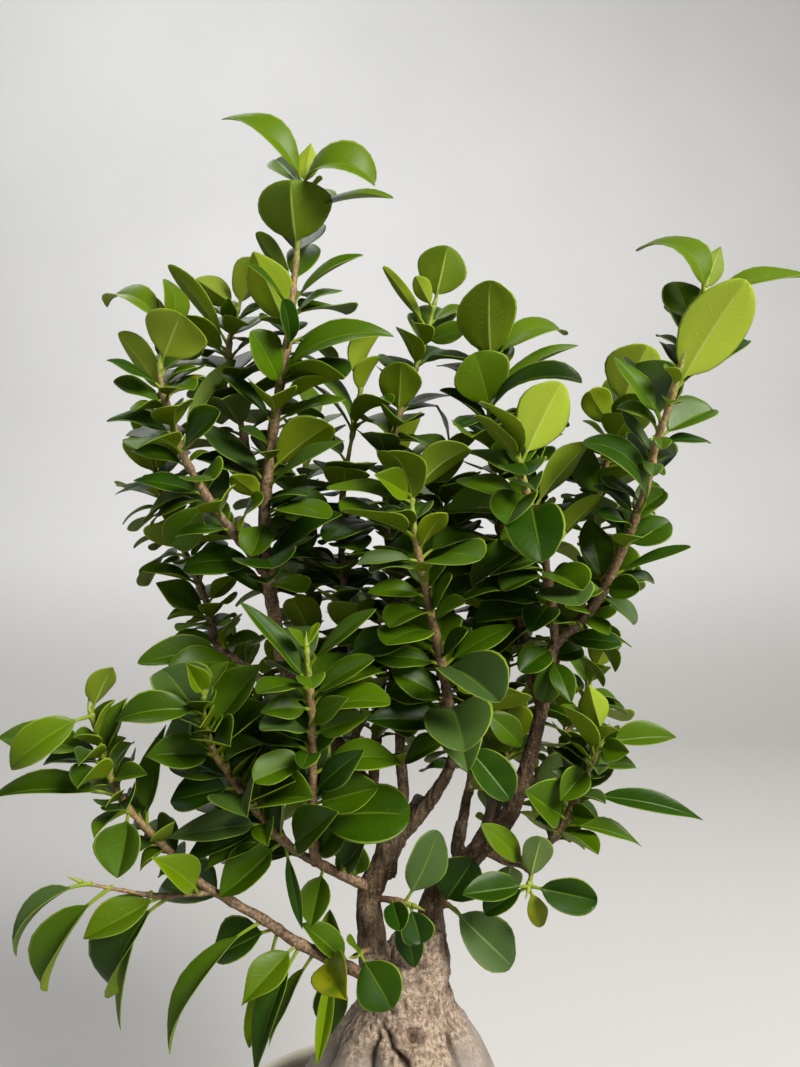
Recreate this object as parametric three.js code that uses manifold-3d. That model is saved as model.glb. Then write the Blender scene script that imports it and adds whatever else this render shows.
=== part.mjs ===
import * as THREE from "three";
import { mergeVertices } from "three/addons/utils/BufferGeometryUtils.js";
import Module from "manifold-3d";

// A ginseng ficus in its pot: a swollen root that narrows to a short neck, grafted limbs
// and upright leafy stems. Millimetres, Z up, the viewer stands on the -Y side.
// The origin is the middle of the flat underside of the pot.

// Pot and soil
const POT_HEIGHT = 125;
const POT_RIM_RADIUS = 105;
const POT_FOOT_RADIUS = 76;
const POT_FLOOR = 7;
const DRAIN_RADIUS = 6;
const DRAIN_RING = 40;
const SOIL_LEVEL = 113;
const GAP = 0.3;
// The plant stands right of the middle of its pot.
const PLANT_X = 17;
const PLANT_Y = -1;

// Leaves
const STALK = 0.16;
const BLADE_THICK = 0.7;
const CLEAR = 4.2;
const STEM_CLEAR = 2.6;
const SEED = 20261;
const DEG = Math.PI / 180;

// Swollen root: height, radius and sideways shift of the middle at each level.
const BULB = [
  [60, 30, 0], [80, 52, 0], [112, 66, 0], [130, 69.5, 0], [147, 68, 0], [159, 62.5, 0.5],
  [168, 57, 1], [177, 51.5, 1.8], [186, 45, 3], [195, 36.5, 3.8], [203, 29, 4],
  [213, 25.4, 4], [224, 24.4, 5], [236, 20.5, 8.8], [246, 15, 13], [251, 11.5, 14.5],
];
const BULB_SIDES = 30;
// Creases between the root lobes: depth as a share of the radius, width in degrees, and the way
// down as [height, angle from the front]. The first point is the upper end, where it fades out.
const CREASES = [
  { deep: 0.2, wide: 9, way: [[205, -36], [192, -33], [150, -28], [60, -26]] },
  { deep: 0.16, wide: 8, way: [[208, -31], [200, -18], [193, -3], [180, 6], [60, 8]] },
  { deep: 0.19, wide: 9, way: [[204, 43], [185, 50], [150, 46], [60, 42]] },
  { deep: 0.15, wide: 12, way: [[196, 98], [60, 88]] },
  { deep: 0.13, wide: 12, way: [[202, 136], [60, 142]] },
  { deep: 0.16, wide: 12, way: [[204, 182], [60, 190]] },
  { deep: 0.13, wide: 12, way: [[198, 246], [60, 240]] },
  { deep: 0.15, wide: 12, way: [[196, 284], [60, 292]] },
];
const CREASE_FADE = 14;

// Bare limbs that carry the leafy stems: thickness at both ends, then points on the way.
const LIMBS = [
  { thick: [10, 6.4], route: [[-6, 0, 201], [-14, -10, 233], [-17, -14, 259], [-18, -12, 275],
    [-11, -8, 291], [-2, -4, 306]] },
  { thick: [5.2, 3.4], route: [[-2, -4, 306], [12, -8, 322], [24, -14, 341], [32, -22, 360]] },
  { thick: [5.8, 4.6], route: [[-2, -2, 305], [-17, 10, 327], [-40, 18, 356], [-60, 18, 380],
    [-72, 12, 409]] },
  { thick: [8.8, 3.5], route: [[12, 4, 214], [19, 4, 244], [19, 4, 262], [29, 6, 278],
    [47, 6, 294], [64, 4, 314], [73, 2, 336], [80, 0, 360], [84, -2, 382], [87, -6, 404]] },
  { thick: [5, 4], route: [[47, 6, 294], [54, 12, 307], [59, 16, 323]] },
  { thick: [4.6, 3.8], route: [[38, 6, 285], [35, 10, 296], [39, 12, 311]] },
  { thick: [4.8, 4], route: [[0, -4, 309], [7, 0, 318], [13, 2, 328]] },
  { thick: [7.2, 6], route: [[-9, -7, 286], [-8, -9, 300], [-6, -10, 314]] },
];

// Where the viewer's eye is from the foot of the plant, and the places where wall or old wood shows
// through the crown: circles as x, z and radius in the plane of the trunk, as that eye sees them.
const EYE_AT = [0, -510, 487];
const COVERED = 0.12;
const HIDDEN = 0.25;
const VIEW_CELL = 2;
const CLEAR_PATCHES = [
  [-3, 672, 25], [-29, 668, 13], [-29, 636, 13], [-17, 624, 6], [-125, 670, 24], [-103, 664, 8],
  [-110, 616, 4], [-175, 612, 8], [-187, 597, 16], [-187, 572, 11], [-183, 543, 16], [-169, 530, 7],
  [-183, 519, 13], [-186, 486, 18], [-167, 474, 8], [-168, 447, 18], [-147, 428, 10], [-103, 454, 5],
  [-31, 543, 8], [-34, 507, 5], [-47, 438, 5], [-15, 482, 5], [28, 580, 7], [33, 560, 6],
  [19, 555, 7], [96, 590, 6], [114, 606, 17], [107, 560, 7], [109, 494, 5], [184, 519, 25],
  [180, 486, 17], [174, 447, 24], [151, 438, 11], [156, 393, 25], [140, 409, 8], [-140, 320, 5],
  [-144, 290, 5], [-207, 306, 22], [-198, 290, 12], [-175, 298, 6], [-207, 393, 16], [-79, 264, 8],
  [-93, 265, 5], [-65, 260, 5], [-33, 260, 5], [-127, 240, 11], [-222, 264, 16], [-228, 231, 12],
  [-111, 207, 12], [-5, 360, 6], [29, 327, 8], [12, 353, 4], [77, 312, 5], [150, 339, 11],
  [127, 340, 5], [111, 290, 8], [144, 279, 22], [132, 300, 6], [96, 249, 16], [48, 207, 20],
  [3, 298, 13], [-9, 279, 13], [-17, 252, 10], [15, 322, 8], [23, 342, 6], [33, 366, 5], [45, 304, 8],
  [63, 312, 8], [77, 339, 6], [86, 366, 5], [5, 333, 4], [-47, 286, 5], [-33, 276, 5], [-109, 348, 4],
];

// Way that the upper side of a leaf faces.
const FACES = {
  away: [0, 1, 0.3],
  away_l: [-0.6, 0.8, 0.3],
  away_r: [0.6, 0.8, 0.3],
  viewer: [0, -1, 0.35],
  viewer_l: [-0.5, -0.8, 0.35],
  viewer_r: [0.5, -0.8, 0.35],
  viewer_u: [0, -0.7, 0.7],
  left_up: [-0.7, -0.5, 0.4],
  left_over: [-0.5, -0.75, 0.4],
  up: [0, -0.55, 0.85],
  up_l: [-0.5, -0.6, 0.7],
  up_r: [0.5, -0.6, 0.7],
  over_l: [-0.35, -0.75, 0.65],
  over_r: [0.35, -0.75, 0.65],
};

// Leafy stems: thickness at both ends, points on the way, the leaves seen one by one as
// [place along the stem, base to tip in x, y, z, width, facing, bend], and how many more
// leaves the growth rule tries to add.
const STEMS = {
  left_tall: {
    thick: [4.6, 1.5],
    more: 8,
    route: [
      [-72, 12, 409], [-77, 7, 440], [-81, 3, 471], [-81, 0, 504], [-77, -4, 537], [-71, -8, 573],
      [-65, -10, 607], [-62, -12, 636], [-59, -14, 661], [-56, -15, 688],
    ],
    leaves: [
      [0.84, -1, -18, 36, 44, "away", 22], [0.985, -45, -12, 38, 26, "over_r", 105],
      [0.99, 42, -14, -1, 31, "over_l", 150], [1, 4, 2, 27, 14, "away", 20],
      [0.995, -18, 14, 24, 21, "viewer", 25], [0.935, 54, 4, 12, 19, "up", 45],
      [0.75, -23, 8, 37, 13, "away_r", 22], [0.755, 7, 20, 33, 20, "viewer", 25],
      [0.72, 42, -6, 27, 16, "up_l", 45], [0.685, 30, 8, 20, 15, "up_l", 60],
      [0.655, -18, -16, 44, 27, "away", 30], [0.69, -23, -22, 25, 11, "up_r", 45],
      [0.625, 1, -22, 24, 17, "viewer_r", 50], [0.565, 67, -14, 24, 27, "over_l", 95],
      [0.635, 50, 14, 12, 17, "up", 45], [0.55, -13, -22, 30, 24, "viewer_r", 50],
      [0.485, -29, -12, 29, 15, "up_r", 45], [0.395, 39, -16, 28, 29, "away_l", 40],
      [0.375, -37, -12, 32, 25, "up_r", 35], [0.49, 43, -6, 14, 17, "up", 40],
      [0.44, -16, -16, 12, 11, "up_r", 60], [0.36, 47, 2, 31, 16, "up_l", 40],
      [0.34, -15, -26, 14, 15, "away", 30], [0.21, 46, -6, 31, 24, "up_l", 40],
      [0.3, -4, -22, -20, 21, "viewer", 30], [0.205, -46, -16, 1, 24, "over_r", 65],
      [0.13, -33, -10, 24, 17, "up_r", 45],
    ],
  },
  left_outer: {
    thick: [3, 1.4],
    more: 3,
    route: [
      [-83, 3, 464], [-89, -3, 475], [-100, -10, 490], [-110, -16, 505], [-121, -22, 525],
      [-126, -26, 539], [-133, -30, 564], [-135, -32, 580], [-131, -33, 598],
    ],
    leaves: [
      [0.885, 16, -16, 25, 36, "away", 20], [0.995, -31, -6, 15, 22, "over_r", 145],
      [0.985, -11, 8, 26, 12, "away_r", 30], [0.74, -29, 8, 40, 21, "away_r", 25],
      [0.775, -35, 10, 19, 15, "up", 40], [0.72, -31, 2, 15, 14, "viewer_u", 40],
      [0.635, -37, -10, 9, 19, "up", 65], [0.58, 25, -16, 21, 22, "viewer_l", 35],
      [0.6, 29, 12, 53, 17, "away_l", 30], [0.495, -36, 8, 11, 16, "up", 45],
      [0.395, -39, -12, 9, 17, "up_r", 40], [0.39, -25, 12, -27, 23, "viewer_r", 30],
      [0.42, -54, 10, -2, 15, "up", 45], [0.235, -31, -10, -3, 13, "up", 45],
    ],
  },
  left_inner: {
    thick: [2.4, 1.2],
    more: 8,
    route: [
      [-81, 2, 495], [-94, 14, 538], [-103, 18, 576], [-106, 18, 605], [-100, 16, 627],
    ],
    leaves: [
      [0.725, -34, -14, 47, 15, "away_r", 25], [0.995, -25, -6, 16, 18, "away", 35],
      [0.85, 0, -10, 16, 11, "viewer", 30], [0.875, 26, -6, 12, 12, "up_l", 40],
    ],
  },
  left_rear: {
    thick: [3.4, 1.3],
    more: 9,
    route: [
      [-60, 18, 380], [-95, 26, 400], [-116, 32, 416], [-124, 36, 442], [-135, 38, 467], [-149, 40, 496],
      [-157, 40, 522], [-160, 38, 541],
    ],
    leaves: [
      [0.385, -33, -6, 22, 22, "over_r", 50], [0.495, -34, -10, 10, 17, "up", 35],
      [0.28, -30, -6, 1, 14, "up", 90], [0.425, 19, -8, 19, 15, "away_l", 30],
      [0.255, 26, -10, 9, 16, "up", 60], [0.215, -53, -20, 0, 21, "over_r", 70],
      [0.16, -41, -26, 4, 22, "over_r", 60],
    ],
  },
  left_low: {
    thick: [3.5, 1.1],
    more: 2,
    route: [
      [-13, -14, 224], [-29, -24, 239], [-57, -36, 259], [-74, -42, 274], [-93, -48, 288],
      [-108, -53, 300], [-119, -58, 315], [-132, -62, 330], [-145, -66, 348], [-152, -68, 364],
      [-156, -70, 380], [-160, -70, 394],
    ],
    leaves: [
      [0.995, 14, -8, 26, 15, "away_l", 50], [0.99, -37, -10, -25, 20, "over_r", 115],
      [0.86, -58, 6, 8, 20, "over_r", 55], [0.735, -67, -4, 0, 14, "up_r", 75],
      [0.845, 10, 6, 32, 16, "viewer_l", 25], [0.78, 21, -10, 7, 11, "up_l", 60],
      [0.7, -3, -10, -32, 24, "viewer", 20], [0.645, 9, 4, 54, 17, "viewer_l", 30],
      [0.275, -49, -12, -67, 18, "left_up", 80], [0.24, -39, 10, -22, 25, "viewer_u", 45],
      [0.18, -28, -22, -23, 19, "viewer_u", 45], [0.175, -23, -14, -65, 18, "left_over", 50],
      [0.15, -27, 4, -56, 12, "left_up", 25], [0.09, -27, -8, 29, 17, "up_r", 35],
      [0.12, -1, -6, -39, 19, "viewer", 30], [0.135, 14, -24, -12, 23, "viewer", 20],
      [0.09, -12, 8, 30, 15, "viewer_l", 40], [0.12, -7, -26, -44, 9, "viewer", 30],
      [0.235, -20, 22, -79, 11, "viewer", 30],
    ],
  },
  left_low_side: {
    thick: [1.4, 0.8],
    more: 0,
    route: [
      [-101, -50, 293], [-124, -62, 296], [-141, -70, 302], [-153, -76, 307], [-161, -80, 311],
    ],
    leaves: [
      [0.875, -34, -8, -33, 14, "left_up", 110], [0.65, -33, 2, -54, 19, "left_over", 85],
      [0.25, -37, -16, -15, 19, "viewer_u", 40], [0.21, -23, -14, -43, 26, "left_over", 115],
      [0.34, -20, 14, -79, 10, "left_over", 30], [0.08, -21, -14, 25, 19, "viewer_u", 60],
    ],
  },
  left_mid: {
    thick: [3.3, 1.1],
    more: 3,
    route: [
      [-14, -12, 278], [-33, -22, 291], [-46, -32, 302], [-58, -40, 312], [-71, -48, 328],
      [-84, -56, 349], [-96, -62, 369], [-102, -66, 387], [-102, -68, 403],
    ],
    leaves: [
      [0.99, -7, -10, 20, 12, "viewer_r", 20], [0.99, 14, -6, 20, 12, "viewer_l", 20],
      [0.92, -43, -10, -2, 18, "over_r", 110], [0.835, 29, -6, 38, 26, "viewer_l", 25],
      [0.755, -33, -16, 4, 20, "over_r", 65], [0.5, -51, -16, -1, 18, "up_r", 65],
      [0.49, -46, -10, -18, 17, "up", 50], [0.43, -33, -12, -26, 24, "viewer_u", 35],
      [0.435, 3, -16, 36, 14, "viewer_l", 30], [0.38, 26, -22, 28, 23, "viewer_l", 35],
      [0.22, -6, -12, -29, 17, "viewer", 25], [0.425, 9, 6, -51, 7, "viewer", 30],
      [0.64, -39, 8, -10, 24, "viewer_u", 45], [0.73, 24, -14, 14, 14, "up_l", 50],
      [0.13, 19, -14, 36, 24, "viewer_l", 35], [0.07, -2, -20, 32, 20, "viewer", 30],
    ],
  },
  front: {
    thick: [3.4, 1.3],
    more: 3,
    route: [
      [-47, -33, 303], [-47, -52, 327], [-46, -64, 352], [-45, -72, 381], [-46, -74, 406],
      [-48, -76, 429],
    ],
    leaves: [
      [0.025, 20, -16, 31, 27, "viewer_l", 40], [0.805, -34, -10, 46, 15, "up_r", 25],
      [0.905, 35, -8, 31, 14, "up_l", 30], [0.985, -8, -10, 13, 8, "up_r", 30],
      [0.985, 7, -6, 15, 8, "up_l", 30], [0.765, 33, -14, 23, 17, "up_l", 35],
      [0.615, 29, -14, 13, 15, "viewer_l", 40], [0.655, 20, -24, 19, 13, "viewer_l", 40],
      [0.72, -24, -14, 2, 15, "up_r", 55], [0.52, -28, -16, -6, 19, "viewer_u", 40],
      [0.38, 28, -16, 28, 18, "viewer_l", 35], [0.335, 35, -12, 13, 22, "viewer_l", 40],
      [0.55, -36, 8, 4, 13, "up", 45],
    ],
  },
  centre: {
    thick: [3.4, 1.4],
    more: 3,
    route: [
      [32, -22, 360], [31, -28, 376], [27, -34, 392], [24, -40, 409], [20, -46, 429], [15, -52, 451],
      [11, -56, 470], [7, -58, 494], [6, -58, 506],
    ],
    leaves: [
      [0.985, 30, -8, 27, 22, "away_l", 90], [0.97, -44, -16, 7, 15, "up", 30],
      [1, -19, -18, 11, 17, "viewer", 40], [0.785, 13, -16, 21, 18, "away_l", 30],
      [0.76, -33, -10, -1, 14, "up", 40], [0.63, -32, -6, 4, 14, "up_r", 65],
      [0.575, 10, -18, 23, 15, "up_l", 30], [0.555, 16, -22, 13, 13, "up_l", 50],
      [0.41, -39, -12, 7, 17, "up_r", 40], [0.425, 13, -20, 19, 15, "up_l", 40],
      [0.4, 40, 2, 23, 18, "up_l", 35], [0.255, -31, -10, 18, 22, "viewer_u", 45],
      [0.135, -49, -18, 8, 22, "viewer_u", 45], [0.08, -29, 6, -16, 19, "up", 50],
    ],
  },
  centre_side: {
    thick: [2.4, 1.4],
    more: 2,
    route: [
      [33, -20, 363], [39, -14, 374], [46, -8, 389], [50, -4, 405],
    ],
    leaves: [
      [0.115, 27, -14, -29, 24, "viewer_u", 35], [0.6, 28, 6, -26, 18, "up_l", 45],
      [0.97, -16, -14, -7, 15, "viewer", 40],
    ],
  },
  centre_top: {
    thick: [4, 1.4],
    more: 8,
    route: [
      [-1, -2, 310], [2, 12, 329], [0, 22, 356], [1, 26, 414], [-3, 32, 451], [-8, 30, 489],
      [-9, 28, 524], [-4, 26, 550], [6, 22, 580], [15, 19, 604], [21, 16, 628],
    ],
    leaves: [
      [1, 8, -6, 35, 31, "away", 22], [0.99, -11, -12, 17, 12, "away", 20],
      [0.935, -28, 2, 41, 9, "away_r", 22], [0.905, 24, -10, 6, 16, "viewer", 40],
      [0.95, 23, 8, 14, 14, "up", 40], [0.73, 2, -14, 33, 27, "away", 30],
    ],
  },
  centre_left: {
    thick: [3, 1.3],
    more: 11,
    route: [
      [-32, 13, 343], [-28, 24, 360], [-22, 30, 381], [-31, 34, 412], [-35, 34, 440], [-37, 32, 470],
      [-38, 30, 489], [-35, 26, 521], [-29, 22, 552], [-24, 18, 579],
    ],
    leaves: [],
  },
  centre_rear: {
    thick: [3.4, 1.3],
    more: 10,
    route: [
      [38, 12, 309], [41, 16, 322], [45, 22, 340], [39, 30, 381], [35, 36, 419], [30, 38, 463],
      [28, 36, 489], [26, 34, 515], [33, 32, 543],
    ],
    leaves: [],
  },
  right_tall: {
    thick: [3.5, 1.4],
    more: 5,
    route: [
      [87, -6, 404], [92, -8, 422], [107, -18, 439], [116, -26, 455], [122, -32, 471], [129, -40, 493],
      [135, -48, 516], [137, -56, 536], [142, -64, 557], [150, -70, 590], [156, -74, 613],
    ],
    leaves: [
      [0.805, 30, -22, 55, 35, "away", 18], [0.96, -34, -10, 25, 34, "over_r", 150],
      [0.985, 11, 4, 26, 13, "away", 20], [0.96, 55, -6, 13, 21, "up", 45],
      [0.91, -4, 12, 28, 21, "viewer", 25], [0.815, 41, 6, 28, 18, "over_l", 28],
      [0.745, -27, -4, 35, 18, "viewer_r", 28], [0.705, 34, 12, 18, 22, "viewer_l", 40],
      [0.685, 28, -4, 2, 12, "up", 60], [0.515, -33, -16, 39, 24, "over_r", 135],
      [0.645, -14, 10, 29, 12, "viewer_r", 35], [0.485, 18, 16, 27, 16, "viewer", 30],
      [0.435, 24, -8, 15, 20, "viewer_l", 40], [0.35, 42, -10, 17, 8, "up_l", 15],
      [0.34, 26, 2, -2, 11, "up", 60], [0.31, 16, -12, -1, 15, "viewer_l", 35],
      [0.295, -6, 12, 41, 21, "viewer", 30], [0.18, 22, 6, 7, 16, "up_l", 40],
      [0.11, 34, -12, 0, 15, "up_l", 40],
    ],
  },
  right_inner: {
    thick: [3, 1.4],
    more: 4,
    route: [
      [92, -8, 422], [89, -15, 440], [85, -23, 457], [82, -30, 472], [77, -38, 489], [71, -46, 503],
      [66, -52, 517], [64, -54, 525],
    ],
    leaves: [
      [0.965, 21, -6, 44, 29, "away", 20], [0.67, 33, 6, 39, 21, "away_l", 35],
      [0.83, -34, -8, 16, 15, "up_r", 45], [0.705, -41, 2, 14, 18, "viewer_u", 45],
      [0.45, 28, -14, 33, 17, "away_l", 25],
    ],
  },
  right_centre: {
    thick: [3.6, 1.3],
    more: 8,
    route: [
      [84, -2, 384], [79, 8, 404], [73, 16, 440], [67, 18, 467], [61, 18, 493], [59, 18, 514],
      [57, 16, 545], [55, 14, 569], [56, 12, 589],
    ],
    leaves: [
      [0.985, -2, -10, 53, 37, "away", 20], [1, 45, 4, 21, 22, "viewer_u", 115],
      [0.835, -11, -18, 33, 36, "viewer", 32], [0.905, 56, 6, 30, 15, "up_l", 35],
      [0.82, 55, -8, 20, 17, "over_l", 125], [0.77, -32, 4, 27, 16, "up_r", 55],
    ],
  },
  right_rear: {
    thick: [3.2, 1.3],
    more: 7,
    route: [
      [86, -4, 394], [98, 10, 416], [117, 26, 451], [126, 32, 497], [129, 32, 519], [135, 30, 546],
      [138, 28, 564],
    ],
    leaves: [
      [0.99, 13, -20, 39, 35, "away", 25], [0.89, -20, -16, 22, 20, "away", 30],
      [0.58, -19, -16, 30, 21, "viewer", 30],
    ],
  },
  right_low: {
    thick: [3.2, 1.2],
    more: 3,
    route: [
      [51, 4, 296], [69, 0, 290], [86, -6, 302], [94, -8, 312], [103, -10, 330], [108, -12, 344],
      [114, -14, 358], [118, -16, 370],
    ],
    leaves: [
      [0.595, 72, -6, -12, 14, "up_l", 55], [0.45, 45, -8, -9, 12, "up", 65],
      [0.93, 46, 4, 3, 16, "over_l", 45], [0.9, 14, -16, 2, 14, "viewer", 35],
      [0.99, -9, -4, 31, 17, "away", 25], [0.48, -27, -22, 24, 27, "viewer_r", 30],
      [0.79, -20, -12, -17, 17, "viewer", 35], [0.515, 12, -16, 2, 12, "viewer_l", 40],
    ],
  },
  right_drop: {
    thick: [2.2, 1.1],
    more: 0,
    route: [
      [67, 0, 290], [72, -12, 292], [75, -22, 292], [73, -28, 287],
    ],
    leaves: [
      [0.48, -28, -12, 30, 17, "viewer_r", 25], [0.935, 8, 8, 24, 18, "away", 25],
      [0.985, 37, -8, -5, 20, "viewer_l", 25], [1, -39, -18, 3, 18, "viewer_u", 30],
      [1, -25, 2, -16, 16, "viewer_u", 30], [1, 6, -8, -19, 12, "viewer", 30],
      [0, -3, 10, -22, 18, "away", 25],
    ],
  },
  neck_right: {
    thick: [2.2, 1.3],
    more: 0,
    route: [
      [20, 0, 262], [27, -10, 269], [31, -18, 270],
    ],
    leaves: [
      [0.565, 37, -8, -32, 29, "viewer_u", 20], [0.32, 17, -20, 35, 29, "viewer", 25],
    ],
  },
  neck_front: {
    thick: [2.2, 1.3],
    more: 1,
    route: [
      [-15, -13, 274], [-2, -26, 278], [7, -32, 278],
    ],
    leaves: [
      [0.735, 19, 6, 39, 26, "viewer_r", 35], [0.925, 6, -6, -19, 19, "viewer", 30],
      [0.535, 10, 8, -42, 17, "viewer", 30], [0.39, 5, -14, -11, 14, "viewer", 40],
    ],
  },
  neck_left: {
    thick: [2.2, 1.3],
    more: 0,
    route: [
      [-15, -16, 245], [-19, -30, 252], [-24, -38, 253],
    ],
    leaves: [
      [0.84, 18, -14, -23, 27, "viewer", 40], [0.79, -7, -6, 9, 11, "up", 30],
    ],
  },
  back_left: {
    thick: [3.6, 1.3],
    more: 9,
    route: [
      [-40, 18, 356], [-54, 48, 398], [-62, 74, 448], [-68, 92, 505], [-66, 98, 562],
    ],
    leaves: [],
  },
  back_mid: {
    thick: [3.8, 1.3],
    more: 10,
    route: [
      [-17, 10, 327], [-14, 38, 368], [-8, 68, 425], [-2, 90, 485], [4, 98, 548],
    ],
    leaves: [],
  },
  back_right: {
    thick: [3.6, 1.3],
    more: 9,
    route: [
      [66, 4, 320], [66, 34, 352], [72, 64, 405], [80, 86, 465], [86, 94, 532],
    ],
    leaves: [],
  },
  back_low_left: {
    thick: [3.6, 1.3],
    more: 8,
    route: [
      [-14, 8, 322], [-36, 42, 328], [-68, 78, 342], [-100, 98, 368], [-122, 104, 404],
    ],
    leaves: [],
  },
  back_low_right: {
    thick: [3.4, 1.3],
    more: 9,
    route: [
      [47, 6, 294], [64, 40, 302], [94, 70, 322], [122, 86, 356], [140, 90, 398],
    ],
    leaves: [],
  },
};

// Stems that fork from one another make one piece.
const PIECES = {
  stem_left_crown: ["left_tall", "left_outer", "left_inner"],
  stem_left_rear: ["left_rear"],
  stem_left_low: ["left_low", "left_low_side"],
  stem_left_middle: ["left_mid", "front"],
  stem_centre: ["centre", "centre_side"],
  stem_centre_top: ["centre_top"],
  stem_centre_left: ["centre_left"],
  stem_centre_rear: ["centre_rear"],
  stem_right_crown: ["right_tall", "right_inner"],
  stem_right_centre: ["right_centre"],
  stem_right_rear: ["right_rear"],
  stem_right_low: ["right_low", "right_drop"],
  sprout_right: ["neck_right"],
  sprout_front: ["neck_front"],
  sprout_left: ["neck_left"],
  stem_back_left: ["back_left"],
  stem_back: ["back_mid"],
  stem_back_right: ["back_right"],
  stem_back_low_left: ["back_low_left"],
  stem_back_low_right: ["back_low_right"],
};
const POINTED = ["left_low", "left_low_side", "left_mid", "right_low"];

const vec = (values) => new THREE.Vector3(...values);

function makeRandom(seed) {
  let state = seed;
  return () => {
    state = (state * 16807) % 2147483647;
    return state / 2147483647;
  };
}

function smoothstep(from, to, x) {
  const t = Math.min(1, Math.max(0, (x - from) / (to - from)));
  return t * t * (3 - 2 * t);
}

// From here on: helpers that turn shapes into closed solids.

const wasm = await Module();
wasm.setup();

function toSolid(geometry) {
  const bare = new THREE.BufferGeometry();
  bare.setAttribute("position", geometry.getAttribute("position"));
  bare.setIndex(geometry.getIndex());
  const joined = mergeVertices(bare, 1e-4);
  const corners = joined.getIndex().array;
  const kept = [];
  for (let i = 0; i < corners.length; i += 3) {
    const [a, b, c] = [corners[i], corners[i + 1], corners[i + 2]];
    if (a !== b && b !== c && c !== a) kept.push(a, b, c);
  }
  const close = (order) => new wasm.Manifold(new wasm.Mesh({
    numProp: 3,
    vertProperties: new Float32Array(joined.getAttribute("position").array),
    triVerts: new Uint32Array(order),
  }));
  const solid = close(kept);
  // A shape bent the other way round comes out inside out: its faces are read backwards.
  return solid.volume() < 0 ? close(kept.reverse()) : solid;
}

function toGeometry(solid) {
  const mesh = solid.getMesh();
  const geometry = new THREE.BufferGeometry();
  geometry.setAttribute("position", new THREE.BufferAttribute(mesh.vertProperties, 3));
  geometry.setIndex(new THREE.BufferAttribute(mesh.triVerts, 1));
  geometry.computeVertexNormals();
  return geometry;
}

const joinAll = (solids) => solids.reduce((sum, one) => sum.add(one));

function lathe(profile, sides) {
  const points = profile.map(([r, z]) => new THREE.Vector2(r, z));
  return toSolid(new THREE.LatheGeometry(points, sides).rotateX(Math.PI / 2));
}

// From here on: stems and limbs.

const curveOf = (route) => new THREE.CatmullRomCurve3(route.map(vec), false, "catmullrom", 0.5);

// A stem tapers fast near its foot and slowly further out.
const thickAt = ([foot, end], t) => end + (foot - end) * (1 - t) ** 1.5;

// Directions across a stem: `front` towards the viewer, `right` square to it.
function frameAt(curve, t) {
  const grow = curve.getTangent(t);
  const front = new THREE.Vector3(0, -1, 0);
  front.addScaledVector(grow, -front.dot(grow)).normalize();
  return { grow, front, right: grow.clone().cross(front) };
}

// A cylinder whose rings are carried along the curve, one at every point of the route or
// more where they lie far apart; `extra` thickens it evenly.
function tube(route, thick, sides, extra = 0) {
  const curve = curveOf(route);
  const spans = route.length - 1;
  const steps = spans * Math.ceil(curve.getLength() / spans / 45);
  const shape = new THREE.CylinderGeometry(1, 1, 1, sides, steps);
  const place = shape.getAttribute("position");
  for (let i = 0; i < place.count; i += 1) {
    const t = Math.round((place.getY(i) + 0.5) * steps) / steps;
    const { grow, front, right } = frameAt(curve, t);
    const radius = thickAt(thick, t) + extra;
    const end = t === 0 ? -extra : t === 1 ? extra : 0;
    const p = curve.getPoint(t).addScaledVector(grow, end)
      .addScaledVector(right, place.getX(i) * radius)
      .addScaledVector(front, place.getZ(i) * radius);
    place.setXYZ(i, p.x, p.y, p.z);
  }
  return toSolid(shape);
}

// From here on: the swollen root.

// Angle of a crease at a height, straight between its points.
function creaseAngle(way, z) {
  const below = way.findIndex(([height]) => height <= z);
  if (below === 0) return way[0][1];
  if (below < 0) return way[way.length - 1][1];
  const [[z0, a0], [z1, a1]] = [way[below - 1], way[below]];
  return a0 + ((a1 - a0) * (z0 - z)) / (z0 - z1);
}

// Share of the radius left at an angle and height, after the creases.
function creaseShare(angle, z) {
  let share = 1;
  for (const { deep, wide, way } of CREASES) {
    const top = way[0][0];
    const depth = deep * (1 - smoothstep(top - CREASE_FADE, top, z));
    const away = ((angle - creaseAngle(way, z) + 540) % 360) - 180;
    share -= depth * Math.exp(-((away / wide) ** 2));
  }
  return share;
}

function bulb(grow) {
  const shape = new THREE.CylinderGeometry(1, 1, 1, BULB_SIDES, BULB.length - 1);
  const place = shape.getAttribute("position");
  for (let i = 0; i < place.count; i += 1) {
    const ring = Math.round((place.getY(i) + 0.5) * (BULB.length - 1));
    const [z, radius, shift] = BULB[ring];
    const angle = Math.atan2(place.getX(i), place.getZ(i)) / DEG;
    const onAxis = Math.hypot(place.getX(i), place.getZ(i)) < 0.5;
    const r = onAxis ? 0 : radius * creaseShare(angle, z) + grow;
    const lift = ring === 0 ? -grow : ring === BULB.length - 1 ? grow : 0;
    place.setXYZ(i, shift + r * Math.sin(angle * DEG), -r * Math.cos(angle * DEG), z + lift);
  }
  return toSolid(shape);
}

function makeTrunk(grow) {
  const limbs = LIMBS.map(({ thick, route }) => tube(route, thick, 6, grow));
  return joinAll([bulb(grow), ...limbs]);
}

// From here on: leaves.

// A leaf is a strip bent on an arc from its base on the stem to its tip.
function makeLeaf(root, chord, face, wide, bend, pointed) {
  const ahead = chord.clone().normalize();
  const up = face.clone().addScaledVector(ahead, -face.dot(ahead)).normalize();
  const side = ahead.clone().cross(up);
  const half = bend * DEG / 2;
  const radius = chord.length() / (2 * Math.sin(half));
  return { root, ahead, up, side, half, radius, wide, pointed, size: chord.length() };
}

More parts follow.
